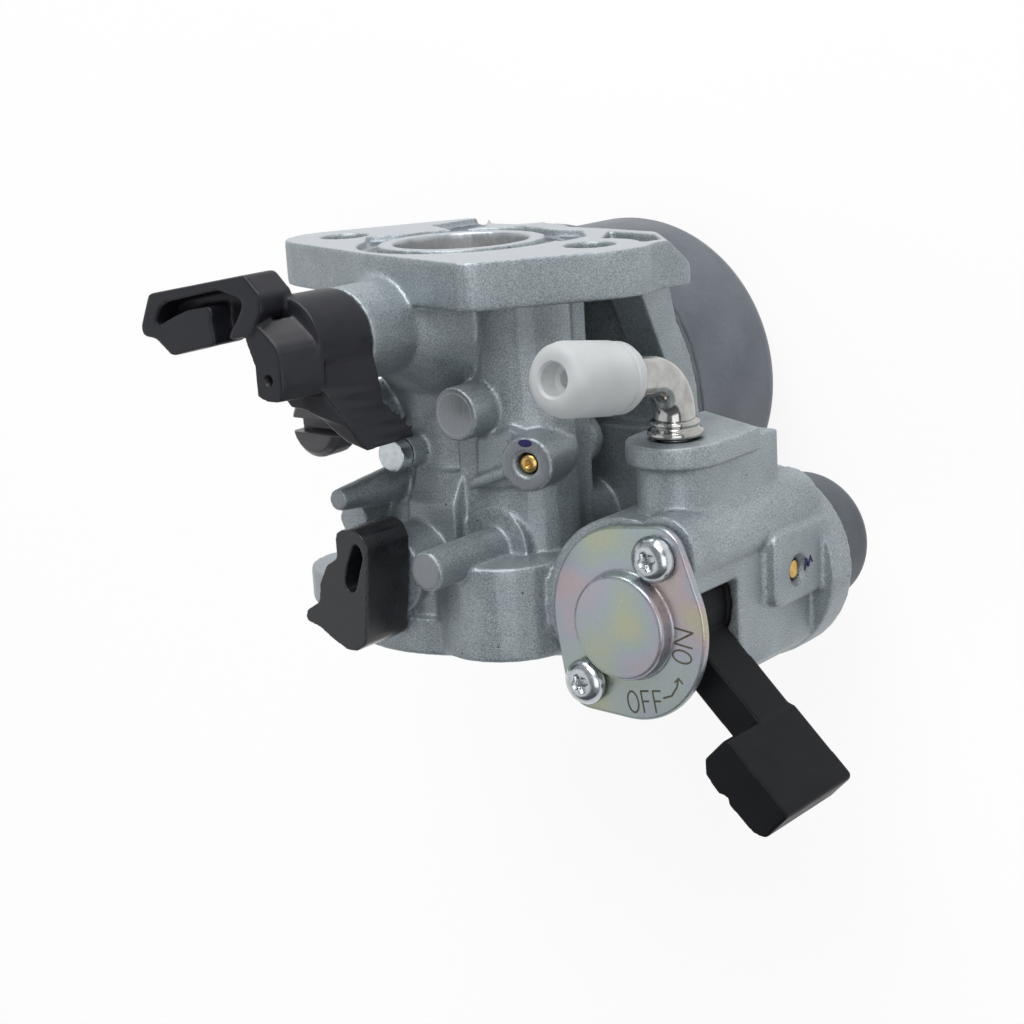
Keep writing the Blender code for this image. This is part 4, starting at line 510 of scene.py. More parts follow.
    def lofted(self, work: Work, rings: list[list[Vector]]) -> None:
        """Adds a closed form that runs through rings of points.

        Args:
            work: The mesh work that it is added to.
            rings: Two or more rings with the same number of points.
        """
        loops = []
        for ring in rings:
            corners = [work.verts.new(point) for point in ring]
            loops.append([work.edges.new(pair) for pair in zip(corners, corners[1:] + corners[:1])])
        for lower, upper in zip(loops, loops[1:]):
            ops.bridge_loops(work, edges=lower + upper)
        for rim in (loops[0], loops[-1]):
            ops.contextual_create(work, geom=rim)
        ops.recalc_face_normals(work, faces=work.faces)

    def softened(self, name: str, work: Work, voxel: float, passes: int) -> Piece:
        """Makes one skin of mesh work, with rounded edges and filled corners, as a mould gives them.

        Args:
            name: The piece's name.
            work: The mesh work, of one or more closed forms.
            voxel: Size of the skin's cells.
            passes: Number of smoothing passes.

        Returns:
            The new object, not yet dressed.
        """
        made = self.piece(name, work)
        remesh = made.modifiers.new("cells", "REMESH")
        remesh.mode = "VOXEL"
        remesh.voxel_size = voxel
        self.applied(made)
        work = bmesh.new()
        work.from_mesh(made.data)
        for _ in range(passes):
            ops.smooth_vert(
                work, verts=work.verts, factor=0.5, use_axis_x=True, use_axis_y=True, use_axis_z=True
            )
        ops.triangulate(work, faces=work.faces)
        work.to_mesh(made.data)
        count = len(work.faces)
        work.free()
        if count > self.MOST_TRIANGLES:
            thin = made.modifiers.new("thin", "DECIMATE")
            thin.ratio = self.MOST_TRIANGLES / count
            self.applied(made)
        made.data.shade_smooth()
        return made

    def settle(self, piece: Piece, body: Body, slot: str, *nodes: str) -> None:
        """Lets a piece ride on a body and stand for nodes.

        Args:
            piece: The piece.
            body: What it moves with.
            slot: The record's slot of its finish; not used.
            nodes: The nodes that it stands for.
        """
        if nodes:
            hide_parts(*nodes)
        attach(piece, body.value)
        LOG.info("%s rides on %s", piece.name, body.value)

    def dress(self, piece: Piece, body: Body, slot: str, *nodes: str, finish: str = "") -> None:
        """Paints a piece in its slot's finish, or in another one, and settles it."""
        self.paint(piece, finish or slot)
        self.settle(piece, body, slot, *nodes)

    def add(self, name: str, work: Work, body: Body, slot: str, *nodes: str, finish: str = "") -> None:
        """Turns finished mesh work into a piece and dresses it."""
        self.dress(self.piece(name, work), body, slot, *nodes, finish=finish)


def shown(name: str, data: bpy.types.ID) -> Piece:
    """Makes an object of data and puts it in the scene."""
    made = bpy.data.objects.new(name, data)
    bpy.context.scene.collection.objects.link(made)
    return made


def facing(axis: Vector, place: Vector) -> Matrix:
    """Returns the matrix that stands a shape's Z axis along an axis at a place."""
    return placed(place) @ UP.rotation_difference(axis).to_matrix().to_4x4()


def add_bar(work: Work, radius: float, length: float, place: Matrix, sides: int) -> None:
    """Adds a straight bar with flat ends to mesh work."""
    size = {"radius1": radius, "radius2": radius, "depth": length, "segments": sides}
    ops.create_cone(work, cap_ends=True, matrix=place, **size)


def grown(work: Work, rim: list[Edge]) -> tuple[list[Vert], list[Edge]]:
    """Extrudes a rim of edges and returns the new rim's vertices and edges."""
    new = ops.extrude_edge_only(work, edges=rim)["geom"]
    points = [item for item in new if isinstance(item, Vert)]
    held = set(points)
    return points, [item for item in new if isinstance(item, Edge) and held.issuperset(item.verts)]


def inset(radius: float, steps: Profile, base: float = 0.0) -> Profile:
    """Returns points of a profile, from millimetres inside a radius and above a base."""
    return [(radius - inside * MM, base + up * MM) for inside, up in steps]


@dataclass
class Casting:
    """The die-cast body, with its machined faces and the marks on it."""

    shop: Shop
    voxel: float = 0.3 * MM
    passes: int = 4
    depth: float = 0.14 * MM
    flatness: float = 0.95
    length: float = 51.5 * MM
    bore_r: float = 9.25 * MM
    bore_end: float = 18.4 * MM
    groove_floor: float = 2.2 * MM
    plain_boss: Triple = (9.8 * MM, -19.8 * MM, 15.0 * MM)
    plain_boss_r: float = 3.5 * MM
    stepped_post: Triple = (11.3 * MM, -37.8 * MM, 24.2 * MM)
    stop_post: Triple = (-4.9 * MM, -30.9 * MM, 22.0 * MM)
    mixture_face: Triple = (18.9 * MM, -25.9 * MM, 12.5 * MM)
    mixture_boss_r: float = 3.6 * MM
    mixture_tilt: float = math.radians(14.0)
    dot_up: float = 2.75 * MM
    dot_size: Triple = (0.95 * MM, 0.5 * MM, 0.06 * MM)
    plug_pad: Triple = (44.6 * MM, -41.2 * MM, -11.6 * MM)
    mark_r: float = 0.13 * MM
    # The sunk finish is painted shade on the floor of the groove in the engine face.
    MILLED, FACED, SUNK = 1, 2, 3  # places of the body's finishes after the cast one

    def build(self) -> None:
        """Builds the casting, then the ring line, the paint dot and the marker line on it."""
        self.build_body()
        self.build_ring_line()
        self.build_paint_dot()
        self.build_marker_line()

    def mixture_axis(self) -> Vector:
        """Returns the direction that the mixture screw's boss faces."""
        return Vector((math.sin(self.mixture_tilt), 0.0, math.cos(self.mixture_tilt)))

    def build_body(self) -> None:
        """Builds the casting, sorts its machined faces and paints shade on the floor of the groove in the
        engine face.
        """
        work = self.shop.copied("carburetor_body")
        body = self.shop.softened("carburetor_body_shape", work, self.voxel, self.passes)
        self.shop.paint(body, "die_casting", "milled", "faced", "sunk")
        plain = (self.plain_boss, self.stepped_post, self.stop_post)
        ends = [(Vector(place), UP, self.plain_boss_r) for place in plain]
        ends.append((Vector(self.mixture_face), self.mixture_axis(), self.mixture_boss_r))
        for face in body.data.polygons:
            spot, way = face.center, face.normal
            milled = way.y > self.flatness and spot.y > -self.depth
            milled |= way.y < -self.flatness and spot.y < self.depth - self.length
            milled |= math.hypot(spot.x, spot.z) < self.bore_r and spot.y > -self.bore_end
            if milled:
                face.material_index = self.MILLED
                continue
            # Painted shade: the +Y faces just below the engine face, the floor of the groove, take the dark
            # sunk finish.
            if way.y > self.flatness and spot.y > -self.groove_floor:
                face.material_index = self.SUNK
            for centre, axis, radius in ends:
                level = (spot - centre).dot(axis)
                if way.dot(axis) > self.flatness and level > -self.depth and (spot - centre).length < radius:
                    face.material_index = self.FACED
        self.shop.settle(body, Body.MAIN, "die_casting", "carburetor_body")

    def build_ring_line(self) -> None:
        """Builds the thin tool mark on the plain boss."""
        inner, outer, rise = 2.66 * MM, 2.8 * MM, 0.05 * MM
        profile = [(outer, -rise), (outer, rise / 2), (inner, rise / 2), (inner, -rise)]
        work = self.shop.turned(profile, placed(self.plain_boss), 0.02 * MM, closed=True)
        self.shop.add("plain_boss_ring_line", work, Body.MAIN, "die_casting")

    def build_paint_dot(self) -> None:
        """Builds the dark dot of paint beside the mixture screw."""
        work = bmesh.new()
        ops.create_uvsphere(work, u_segments=24, v_segments=12, radius=1.0)
        place = facing(self.mixture_axis(), Vector(self.mixture_face) + Vector((0, self.dot_up, 0)))
        ops.transform(work, matrix=place @ Matrix.Diagonal((*self.dot_size, 1.0)), verts=work.verts)
        self.shop.add("mixture_paint_dot", work, Body.MAIN, "black_plastic", finish="ink")

    def build_marker_line(self) -> None:
        """Builds the short hand-drawn line beside the brass plug."""
        points = [(0.0, -0.8, 0.9), (0.0, 0.5, 0.4), (0.0, -0.5, 0.0), (0.0, 0.7, -0.5), (0.0, -0.1, -0.9)]
        work = stroke_work([[Vector(point) * MM for point in points]], self.mark_r)
        ops.transform(work, matrix=placed(self.plug_pad), verts=work.verts)
        self.shop.add("plug_marker_line", work, Body.MAIN, "black_plastic", finish="ink")


def stroke_work(strokes: list[list[Vector]], radius: float) -> Work:
    """Draws round strokes along lists of points.

    Args:
        strokes: The points of each stroke.
        radius: Half the strokes' width.

    Returns:
        The mesh work of all the strokes.
    """
    work = bmesh.new()
    for points in strokes:
        for start, end in zip(points, points[1:]):
            place = facing(end - start, (start + end) / 2)
            add_bar(work, radius, (end - start).length, place, sides=10)
        for point in points:
            ops.create_icosphere(work, subdivisions=1, radius=radius, matrix=placed(point))
    return work


@dataclass
class Moulding:
    """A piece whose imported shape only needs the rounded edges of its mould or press."""

    shop: Shop
    node: str
    body: Body
    finish: str
    voxel: float = 0.22 * MM
    passes: int = 3

    def build(self) -> None:
        """Builds the rounded piece and dresses it."""
        made = self.shop.softened(f"{self.node}_shape", self.shop.copied(self.node), self.voxel, self.passes)
        self.shop.dress(made, self.body, self.shop.slots[self.node], self.node, finish=self.finish)


@dataclass
class Pressings:
    """The pressed float bowl with its seal, and the screw-in sediment cup."""

    shop: Shop
    bowl_y: float = -24.3 * MM
    bowl_wall: float = 1.2 * MM
    bowl_lip: float = 1.2 * MM
    bowl_corner_r: float = 4.5 * MM
    bolt_hole_r: float = 3.3 * MM
    drain: float = -11.0 * MM
    drain_hole_r: float = 2.8 * MM
    cup_r: float = 9.2 * MM
    cup_wall: float = 1.6 * MM
    cup_top: float = -19.2 * MM
    cup_bottom: float = -32.2 * MM
    cup_flange_t: float = 1.8 * MM
    cup_collar_r: float = 8.3 * MM
    cup_corner_r: float = 2.6 * MM
    hex_r: float = 5.77 * MM
    hex_bite: float = 0.8 * MM
    soft: float = 0.2 * MM
    voxel: float = 0.24 * MM
    passes: int = 4
    bend_steps: int = 12

    def build(self) -> None:
        """Builds the bowl and the cup, and dresses the seal between the bowl and the casting."""
        self.build_bowl()
        self.build_cup()
        self.shop.paint(frame["nodes"]["bowl_gasket"], "grey_seal")

    def bend(self, centre: tuple[float, float], radius: float, start: float, end: float) -> Profile:
        """Returns the points of a quarter bend in a profile.

        Args:
            centre: The bend's centre, as radius and height.
            radius: The bend's radius.
            start: The angle of its first point in degrees.
            end: The angle of its last point in degrees.

        Returns:
            The points.
        """
        steps = self.bend_steps
        turns = [math.radians(start + (end - start) * step / steps) for step in range(steps + 1)]
        return [(centre[0] + radius * math.cos(turn), centre[1] + radius * math.sin(turn)) for turn in turns]

    def build_bowl(self) -> None:
        """Builds the bowl by turning its section, and bores the drain's hole."""
        low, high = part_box("float_bowl")
        lip, top, floor, soft = high.x, high.z, low.z, self.soft
        outer, shoulder = lip - self.bowl_lip, top - self.bowl_wall
        centre = (outer - self.bowl_corner_r, floor + self.bowl_corner_r)
        profile = [(lip - soft, top), (lip, top - soft), (lip, shoulder + soft), (lip - soft, shoulder)]
        profile += [(outer + soft, shoulder), (outer, shoulder - soft)]
        profile += self.bend(centre, self.bowl_corner_r, 0.0, -90.0)
        profile += [(self.bolt_hole_r, floor), (self.bolt_hole_r, floor + self.bowl_wall)]
        profile += self.bend(centre, self.bowl_corner_r - self.bowl_wall, -90.0, 0.0)
        profile.append((outer - self.bowl_wall, top))
        place = placed((0.0, self.bowl_y, 0.0))
        bowl = self.shop.piece("float_bowl_shape", self.shop.turned(profile, place, steps=144, closed=True))
        self.shop.bored(bowl, self.drain_hole_r, Vector((self.drain, self.bowl_y, floor)), sides=32)
        self.shop.dress(bowl, Body.MAIN, "bowl_metal", "float_bowl")

    def build_cup(self) -> None:
        """Builds the cup by turning its section, with the hexagon under it, as one skin."""
        low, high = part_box("sediment_cup")
        middle = (low + high) / 2
        collar, flange, top = self.cup_collar_r, (high.x - low.x) / 2, self.cup_top
        inner, floor, ledge = collar - self.cup_wall, self.cup_bottom + self.cup_wall, top - self.cup_flange_t
        profile = [(0.0, floor), (inner, floor), (inner, high.z), (collar, high.z)]
        profile += [(collar, top), (flange, top), (flange, ledge), (self.cup_r, ledge)]
        centre = (self.cup_r - self.cup_corner_r, self.cup_bottom + self.cup_corner_r)
        profile += self.bend(centre, self.cup_corner_r, 0.0, -90.0)
        profile.append((0.0, self.cup_bottom))
        work = self.shop.turned(profile, placed((middle.x, middle.y, 0.0)), steps=120)
        height = self.cup_bottom + self.hex_bite - low.z
        spot = placed((middle.x, middle.y, low.z + height / 2))
        add_bar(work, self.hex_r, height, spot, sides=6)
        cup = self.shop.softened("sediment_cup_shape", work, self.voxel, self.passes)
        slot = self.shop.slots["sediment_cup"]
        # The cup takes the darker copy of the bowl's metal, with its shade painted in.
        self.shop.dress(cup, Body.MAIN, slot, "sediment_cup", finish="shaded_cup_metal")


@dataclass
class ThrottleLever:
    """The throttle's moulded lever: leaning drum, stop foot, holed lobe and forked hook with a floor."""

    shop: Shop
    shaft_y: float = -8.9 * MM
    drum_foot: float = 24.9 * MM
    drum_top: float = 32.0 * MM
    drum_foot_r: float = 6.2 * MM
    drum_top_r: float = 6.0 * MM
    drum_lean: float = -2.0 * MM
    drum_sides: int = 72
    fork_level: float = 32.31 * MM
    fork_sink: float = 1.5 * MM
    floor_rise: float = 0.5 * MM
    lobe_top: float = 36.0 * MM
    lobe_foot: float = 31.6 * MM
    lobe_lean: Triple = (3.2 * MM, 0.5 * MM, 0.0)
    hole: Triple = (-1.1 * MM, -3.6 * MM, 36.0 * MM)
    hole_r: float = 0.75 * MM
    voxel: float = 0.18 * MM
    passes: int = 8

    def build(self) -> None:
        """Builds the lever as one skin over its forms, and bores its small hole."""
        work = self.fork_work()
        self.add_drum(work)
        self.add_lobe(work)
        self.add_foot(work)
        self.add_floor(work)
        lever = self.shop.softened("throttle_lever_shape", work, self.voxel, self.passes)
        self.shop.bored(lever, self.hole_r, self.at(*self.hole), sides=24)
        self.shop.dress(lever, Body.THROTTLE, "black_plastic", "throttle_lever", finish="lever_plastic")

    def at(self, across: float, along: float, up: float) -> Vector:
        """Returns a place that is given from the shaft."""
        return Vector((across, along + self.shaft_y, up))

    def ring(self, points: list[Triple]) -> list[Vector]:
        """Returns a ring of places that are given from the shaft in millimetres."""
        return [self.at(across * MM, along * MM, up * MM) for across, along, up in points]

    def level_ring(self, outline: Profile, level: float) -> list[Vector]:
        """Returns a level ring of places that are given from the shaft in millimetres."""
        return [self.at(across * MM, along * MM, level) for across, along in outline]

    def fork_work(self) -> Work:
        """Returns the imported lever's fork, cut off the rest and let into the drum."""
        work = self.shop.copied("throttle_lever")
        everything = [*work.verts, *work.edges, *work.faces]
        level = Vector((0, 0, self.fork_level))
        ops.bisect_plane(work, geom=everything, plane_co=level, plane_no=(0, 0, 1), clear_inner=True)
        rim = [line for line in work.edges if line.is_boundary]
        lowest = {point for line in rim for point in line.verts}
        ops.translate(work, verts=list(lowest), vec=(0, 0, -self.fork_sink))
        ops.holes_fill(work, edges=rim)
        ops.recalc_face_normals(work, faces=work.faces)
        return work

    def add_drum(self, work: Work) -> None:
        """Adds the drum on the shaft."""
        turns = [math.tau * step / self.drum_sides for step in range(self.drum_sides)]
        ends = ((0.0, self.drum_foot, self.drum_foot_r), (self.drum_lean, self.drum_top, self.drum_top_r))
        rings = [
            [self.at(lean + radius * math.cos(turn), radius * math.sin(turn), level) for turn in turns]
            for lean, level, radius in ends
        ]
        self.shop.lofted(work, rings)

    def add_lobe(self, work: Work) -> None:
        """Adds the lobe that stands on the drum beside the fork."""
        outline = [(-0.9, 1.8), (0.3, 0.7), (0.9, -0.4), (1.0, -2.4), (1.0, -4.3), (0.7, -6.0), (-0.3, -6.3)]
        outline += [(-2.2, -6.2), (-3.4, -5.6), (-3.3, -2.1), (-4.6, 1.1), (-3.0, 3.4)]
        top = self.level_ring(outline, self.lobe_top)
        sink = Vector((0, 0, self.lobe_foot - self.lobe_top))
        self.shop.lofted(work, [[place + sink + Vector(self.lobe_lean) for place in top], top])

    def add_foot(self, work: Work) -> None:
        """Adds the apron on the drum's side, which ends in the stop foot."""
        top = [(3.7, -4.8, 32.0), (4.6, -6.2, 32.0), (5.6, -7.7, 31.5), (6.8, -9.7, 30.8)]
        top += [(7.6, -11.4, 30.1), (8.2, -12.8, 29.5), (4.9, -11.8, 29.8), (3.4, -10.3, 30.5)]
        top += [(2.4, -9.0, 31.0), (0.8, -7.9, 32.0), (-1.9, -7.7, 32.0), (-4.5, -4.6, 32.0)]
        top += [(-2.0, 0.0, 32.0), (3.2, -1.0, 32.0)]
        foot = [(6.6, -4.2, 24.9), (6.8, -5.8, 24.9), (6.9, -7.6, 24.6), (7.7, -9.7, 20.2)]
        foot += [(7.8, -11.3, 20.2), (7.9, -12.9, 20.2), (4.8, -11.9, 20.2), (3.3, -10.4, 21.5)]
        foot += [(2.4, -9.2, 23.5), (0.8, -8.0, 24.9), (-1.9, -7.7, 24.9), (-4.0, -4.6, 24.9)]
        foot += [(0.0, 0.0, 24.9), (5.9, -1.0, 24.9)]
        self.shop.lofted(work, [self.ring(foot), self.ring(top)])

    def add_floor(self, work: Work) -> None:
        """Adds the floor behind the fork's slot."""
        outline = [(-21.0, 5.6), (-4.0, 8.5), (-3.0, 2.2), (-7.9, 1.0), (-17.6, -1.3), (-20.2, 0.6)]
        low = self.level_ring([*outline, (-22.5, 1.2)], self.fork_level - self.fork_sink)
        rise = Vector((0, 0, self.fork_sink + self.floor_rise))
        self.shop.lofted(work, [low, [place + rise for place in low]])


@dataclass
class HexScrew:
    """A hex-headed screw under the bowl, with its corners eased."""

    shop: Shop
    node: str
    edge: float = 0.3 * MM

    def build(self) -> None:
        """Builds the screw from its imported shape."""
        work = self.shop.copied(self.node)
        ops.dissolve_limit(work, angle_limit=math.radians(2.0), verts=work.verts, edges=work.edges)
        self.shop.eased(work, self.edge)
        self.shop.add(f"{self.node}_shape", work, Body.MAIN, self.shop.slots[self.node], self.node)


@dataclass
class FuelPlate:
    """The plated cover of the fuel cock, its two cross-headed screws and its stamped words."""

    shop: Shop
    axis_x: float = 33.5 * MM
    axis_y: float = -43.6 * MM
    shift: Triple = (0.7 * MM, -0.4 * MM, 0.0)
    bottom: float = 12.6 * MM
    top: float = 13.8 * MM
    round_r: float = 11.7 * MM
    oval: Triple = (0.965, 1.045, 1.0)
    lobe_r: float = 3.9 * MM
    screw_reach: float = 10.1 * MM
    screw_turn: float = math.radians(57.5)
    rim: float = 0.42 * MM
    dome_r: float = 6.75 * MM
    dome_rise: float = 2.1 * MM
    screw_r: float = 2.9 * MM
    shank_r: float = 1.5 * MM
    head_rise: float = 1.8 * MM
    shank_length: float = 8.3 * MM
    gap: float = 0.3 * MM
    recess_width: float = 0.85 * MM
    recess_reach: float = 1.75 * MM
    recess_depth: float = 1.25 * MM
    recess_turns: tuple[float, float] = (25.0, 115.0)
    recess_taper: tuple[float, float] = (0.45, 0.6)
    letter_height: float = 2.7 * MM
    letter_gap: float = 0.24
    letter_sides: int = 20
    stroke_r: float = 0.13 * MM

    def build(self) -> None:
        """Builds the plate, the screws and the words."""
        self.build_plate()
        for number, side in ((1, 1.0), (2, -1.0)):
            self.build_screw(number, side)
        self.build_words()

    def middle(self) -> Vector:
        """Returns the middle of the plate's round part, on its top."""
        return Vector((self.axis_x, self.axis_y, self.top)) + Vector(self.shift)

    def screw_place(self, side: float) -> Vector:
        """Returns a screw's place on the plate's top."""
        reach = self.screw_reach * side
        across, along = math.cos(self.screw_turn) * reach, math.sin(self.screw_turn) * reach
        return Vector((self.axis_x + across, self.axis_y + along, self.top))

    def build_plate(self) -> None:
        """Builds the plate as the hull of its round part and two lobes, and presses the dome on it."""
        work = bmesh.new()
        rounds = [(self.middle(), self.round_r, 96, Matrix.Diagonal((*self.oval, 1.0)))]
        rounds += [(self.screw_place(side), self.lobe_r, 48, Matrix()) for side in (-1.0, 1.0)]
        drop = Vector((0, 0, self.bottom - self.top))
        for centre, radius, steps, stretch in rounds:
            for place in (centre, centre + drop):
                matrix = placed(place) @ stretch
                ops.create_circle(work, segments=steps, radius=radius, matrix=matrix)
        hull = ops.convex_hull(work, input=work.verts)
        loose = {*hull["geom_interior"], *hull["geom_unused"]}
        spare = [item for item in loose if isinstance(item, Vert)]
        ops.delete(work, geom=spare, context="VERTS")
        ops.dissolve_limit(work, angle_limit=math.radians(1.0), verts=work.verts, edges=work.edges)
        ops.recalc_face_normals(work, faces=work.faces)
        self.shop.eased(work, self.rim)
        self.shop.add("cock_plate_shape", work, Body.MAIN, "yellow_zinc", "cock_plate")
        r, h = self.dome_r, self.dome_rise
        profile = [(0.0, h), *inset(r, [(0.7, 0.0), (0.38, -0.08), (0.2, -0.25), (0.12, -0.5)], h)]
        profile += inset(r, [(0.05, 0.35), (-0.02, 0.15), (-0.15, 0.04), (-0.3, 0.01), (-0.3, -0.2)])
        profile.append((0.0, -0.2 * MM))
        work = self.shop.turned(profile, placed(self.middle()), steps=96)
        self.shop.add("cock_plate_dome", work, Body.MAIN, "yellow_zinc")

    def build_screw(self, number: int, side: float) -> None:
        """Builds a pan-headed screw with a cross recess.

        Args:
            number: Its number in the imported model.
            side: 1 for the screw towards the engine, -1 for the other.
        """
        seat = self.screw_place(side) + Vector((0, 0, self.gap))
        r, h = self.screw_r, self.head_rise
        crown = [(0.0, 1.0), (0.5, 0.97), (0.75, 0.85), (0.9, 0.65), (0.985, 0.4), (1.0, 0.2), (0.98, 0.06)]
        profile = [(part * r, up * h) for part, up in [*crown, (0.94, 0.0)]]
        profile += [(self.shank_r, 0.0), (self.shank_r, -self.shank_length), (0.0, -self.shank_length)]
        work = self.shop.turned(profile, placed(seat))
        screw = self.shop.piece(f"plate_screw_{number}_shape", work)
        for turn in self.recess_turns:
            work = bmesh.new()
            ops.create_cube(work, size=2.0)
            for vertex in work.verts:
                if vertex.co.z < 0.0:
                    vertex.co.x *= self.recess_taper[0]
                    vertex.co.y *= self.recess_taper[1]
            size = Matrix.Diagonal((self.recess_reach, self.recess_width / 2, self.recess_depth, 1.0))
            place = placed(seat + Vector((0, 0, h))) @ Matrix.Rotation(math.radians(turn), 4, "Z")
            ops.transform(work, matrix=place @ size, verts=work.verts)
            self.shop.carved(screw, self.shop.piece("cross_arm", work))
        self.shop.dress(screw, Body.MAIN, "zinc_steel", f"plate_screw_{number}")

    def letter(self, name: str) -> tuple[list[Profile], float]:
        """Returns a letter's strokes, in parts of its height, and its width."""
        turns = [math.tau * step / self.letter_sides for step in range(self.letter_sides + 1)]
        ring = [(0.29 + 0.29 * math.cos(turn), 0.5 + 0.5 * math.sin(turn)) for turn in turns]
        letters = {
            "O": ([ring], 0.58),
            "N": ([[(0.0, 0.0), (0.0, 1.0), (0.72, 0.0), (0.72, 1.0)]], 0.72),
            "F": ([[(0.0, 0.0), (0.0, 1.0), (0.42, 1.0)], [(0.0, 0.52), (0.34, 0.52)]], 0.42),
        }
        return letters[name]

    def build_words(self) -> None:
        """Builds the two generic words and the arrow between them, as fine stamped lines."""
        centre = Vector((self.axis_x, self.axis_y, self.top))
        words = [("ON", (8.75, -2.0), 84.0), ("OFF", (2.9, -9.95), 10.0)]
        strokes = []
        for word, (across, along), turn in words:
            line, reach = [], 0.0
            for name in word:
                shape, width = self.letter(name)
                line += [[Vector((x + reach, y, 0.0)) for x, y in stroke] for stroke in shape]
                reach += width + self.letter_gap
            half = Vector(((reach - self.letter_gap) / 2, 0.5, 0.0))
            spin = Matrix.Rotation(math.radians(turn), 3, "Z") * self.letter_height
            spot = centre + Vector((across, along, 0.0)) * MM
            strokes += [[spin @ (point - half) + spot for point in stroke] for stroke in line]
        shaft = [(5.7, -9.0), (6.9, -8.5), (7.7, -7.3), (8.0, -6.1)]
        head = [(7.45, -6.7), (8.0, -6.1), (8.55, -6.7)]
        strokes += [[centre + Vector((x, y, 0.0)) * MM for x, y in stroke] for stroke in (shaft, head)]
        work = stroke_work(strokes, self.stroke_r)
        flat = Matrix.Diagonal((1.0, 1.0, 0.3, 1.0))
        flat = placed(centre) @ flat @ placed(-centre)
        ops.transform(work, matrix=flat, verts=work.verts)
        self.shop.add("cock_plate_words", work, Body.MAIN, "yellow_zinc", finish="stamping")


@dataclass
class BrassScrews:
    """The sunk mixture screw and the pressed plug on the cock's side."""

    shop: Shop
    screw_r: float = 1.2 * MM
    screw_length: float = 8.0 * MM
    screw_sunk: float = 0.5 * MM
    socket_r: float = 0.42 * MM
    plug_r: float = 1.2 * MM
    plug_crown: float = 0.35 * MM

    def build(self) -> None:
        """Builds the mixture screw and the plug."""
        self.build_mixture_screw()
        self.build_plug()

    def build_mixture_screw(self) -> None:
        """Builds the small screw with a socket in its end."""
        joint = self.shop.joints["mixture_screw_turn"]
        axis = Vector(joint["axis"]).normalized()
        face = Vector(joint["pos_m"]) - axis * self.screw_sunk
        r = self.screw_r
        profile = [(0.0, -0.8 * MM), *inset(self.socket_r, [(0.0, -0.7), (0.0, -0.12), (-0.12, 0.0)])]
        profile += inset(r, [(0.3, -0.04), (0.08, -0.2), (0.0, -0.45)])
        profile += [(r, -self.screw_length), (0.0, -self.screw_length)]
        work = self.shop.turned(profile, facing(axis, face), steps=32)
        self.shop.add("mixture_screw_shape", work, Body.MIXTURE, "brass", "mixture_screw")

    def build_plug(self) -> None:
        """Builds the plug with a crowned end."""
        low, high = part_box("brass_plug")
        centre = (low + high) / 2
        length = high.x - low.x
        r, crown = self.plug_r, self.plug_crown
        profile = [(0.0, crown), (0.4 * r, 0.9 * crown), (0.75 * r, 0.55 * crown), (0.96 * r, 0.1 * crown)]
        profile += [(r, -0.1 * MM), (r, -length), (0.0, -length)]
        place = facing(Vector((1, 0, 0)), Vector((high.x, centre.y, centre.z)))
        work = self.shop.turned(profile, place, steps=32)
        self.shop.add("brass_plug_shape", work, Body.MAIN, "brass", "brass_plug")


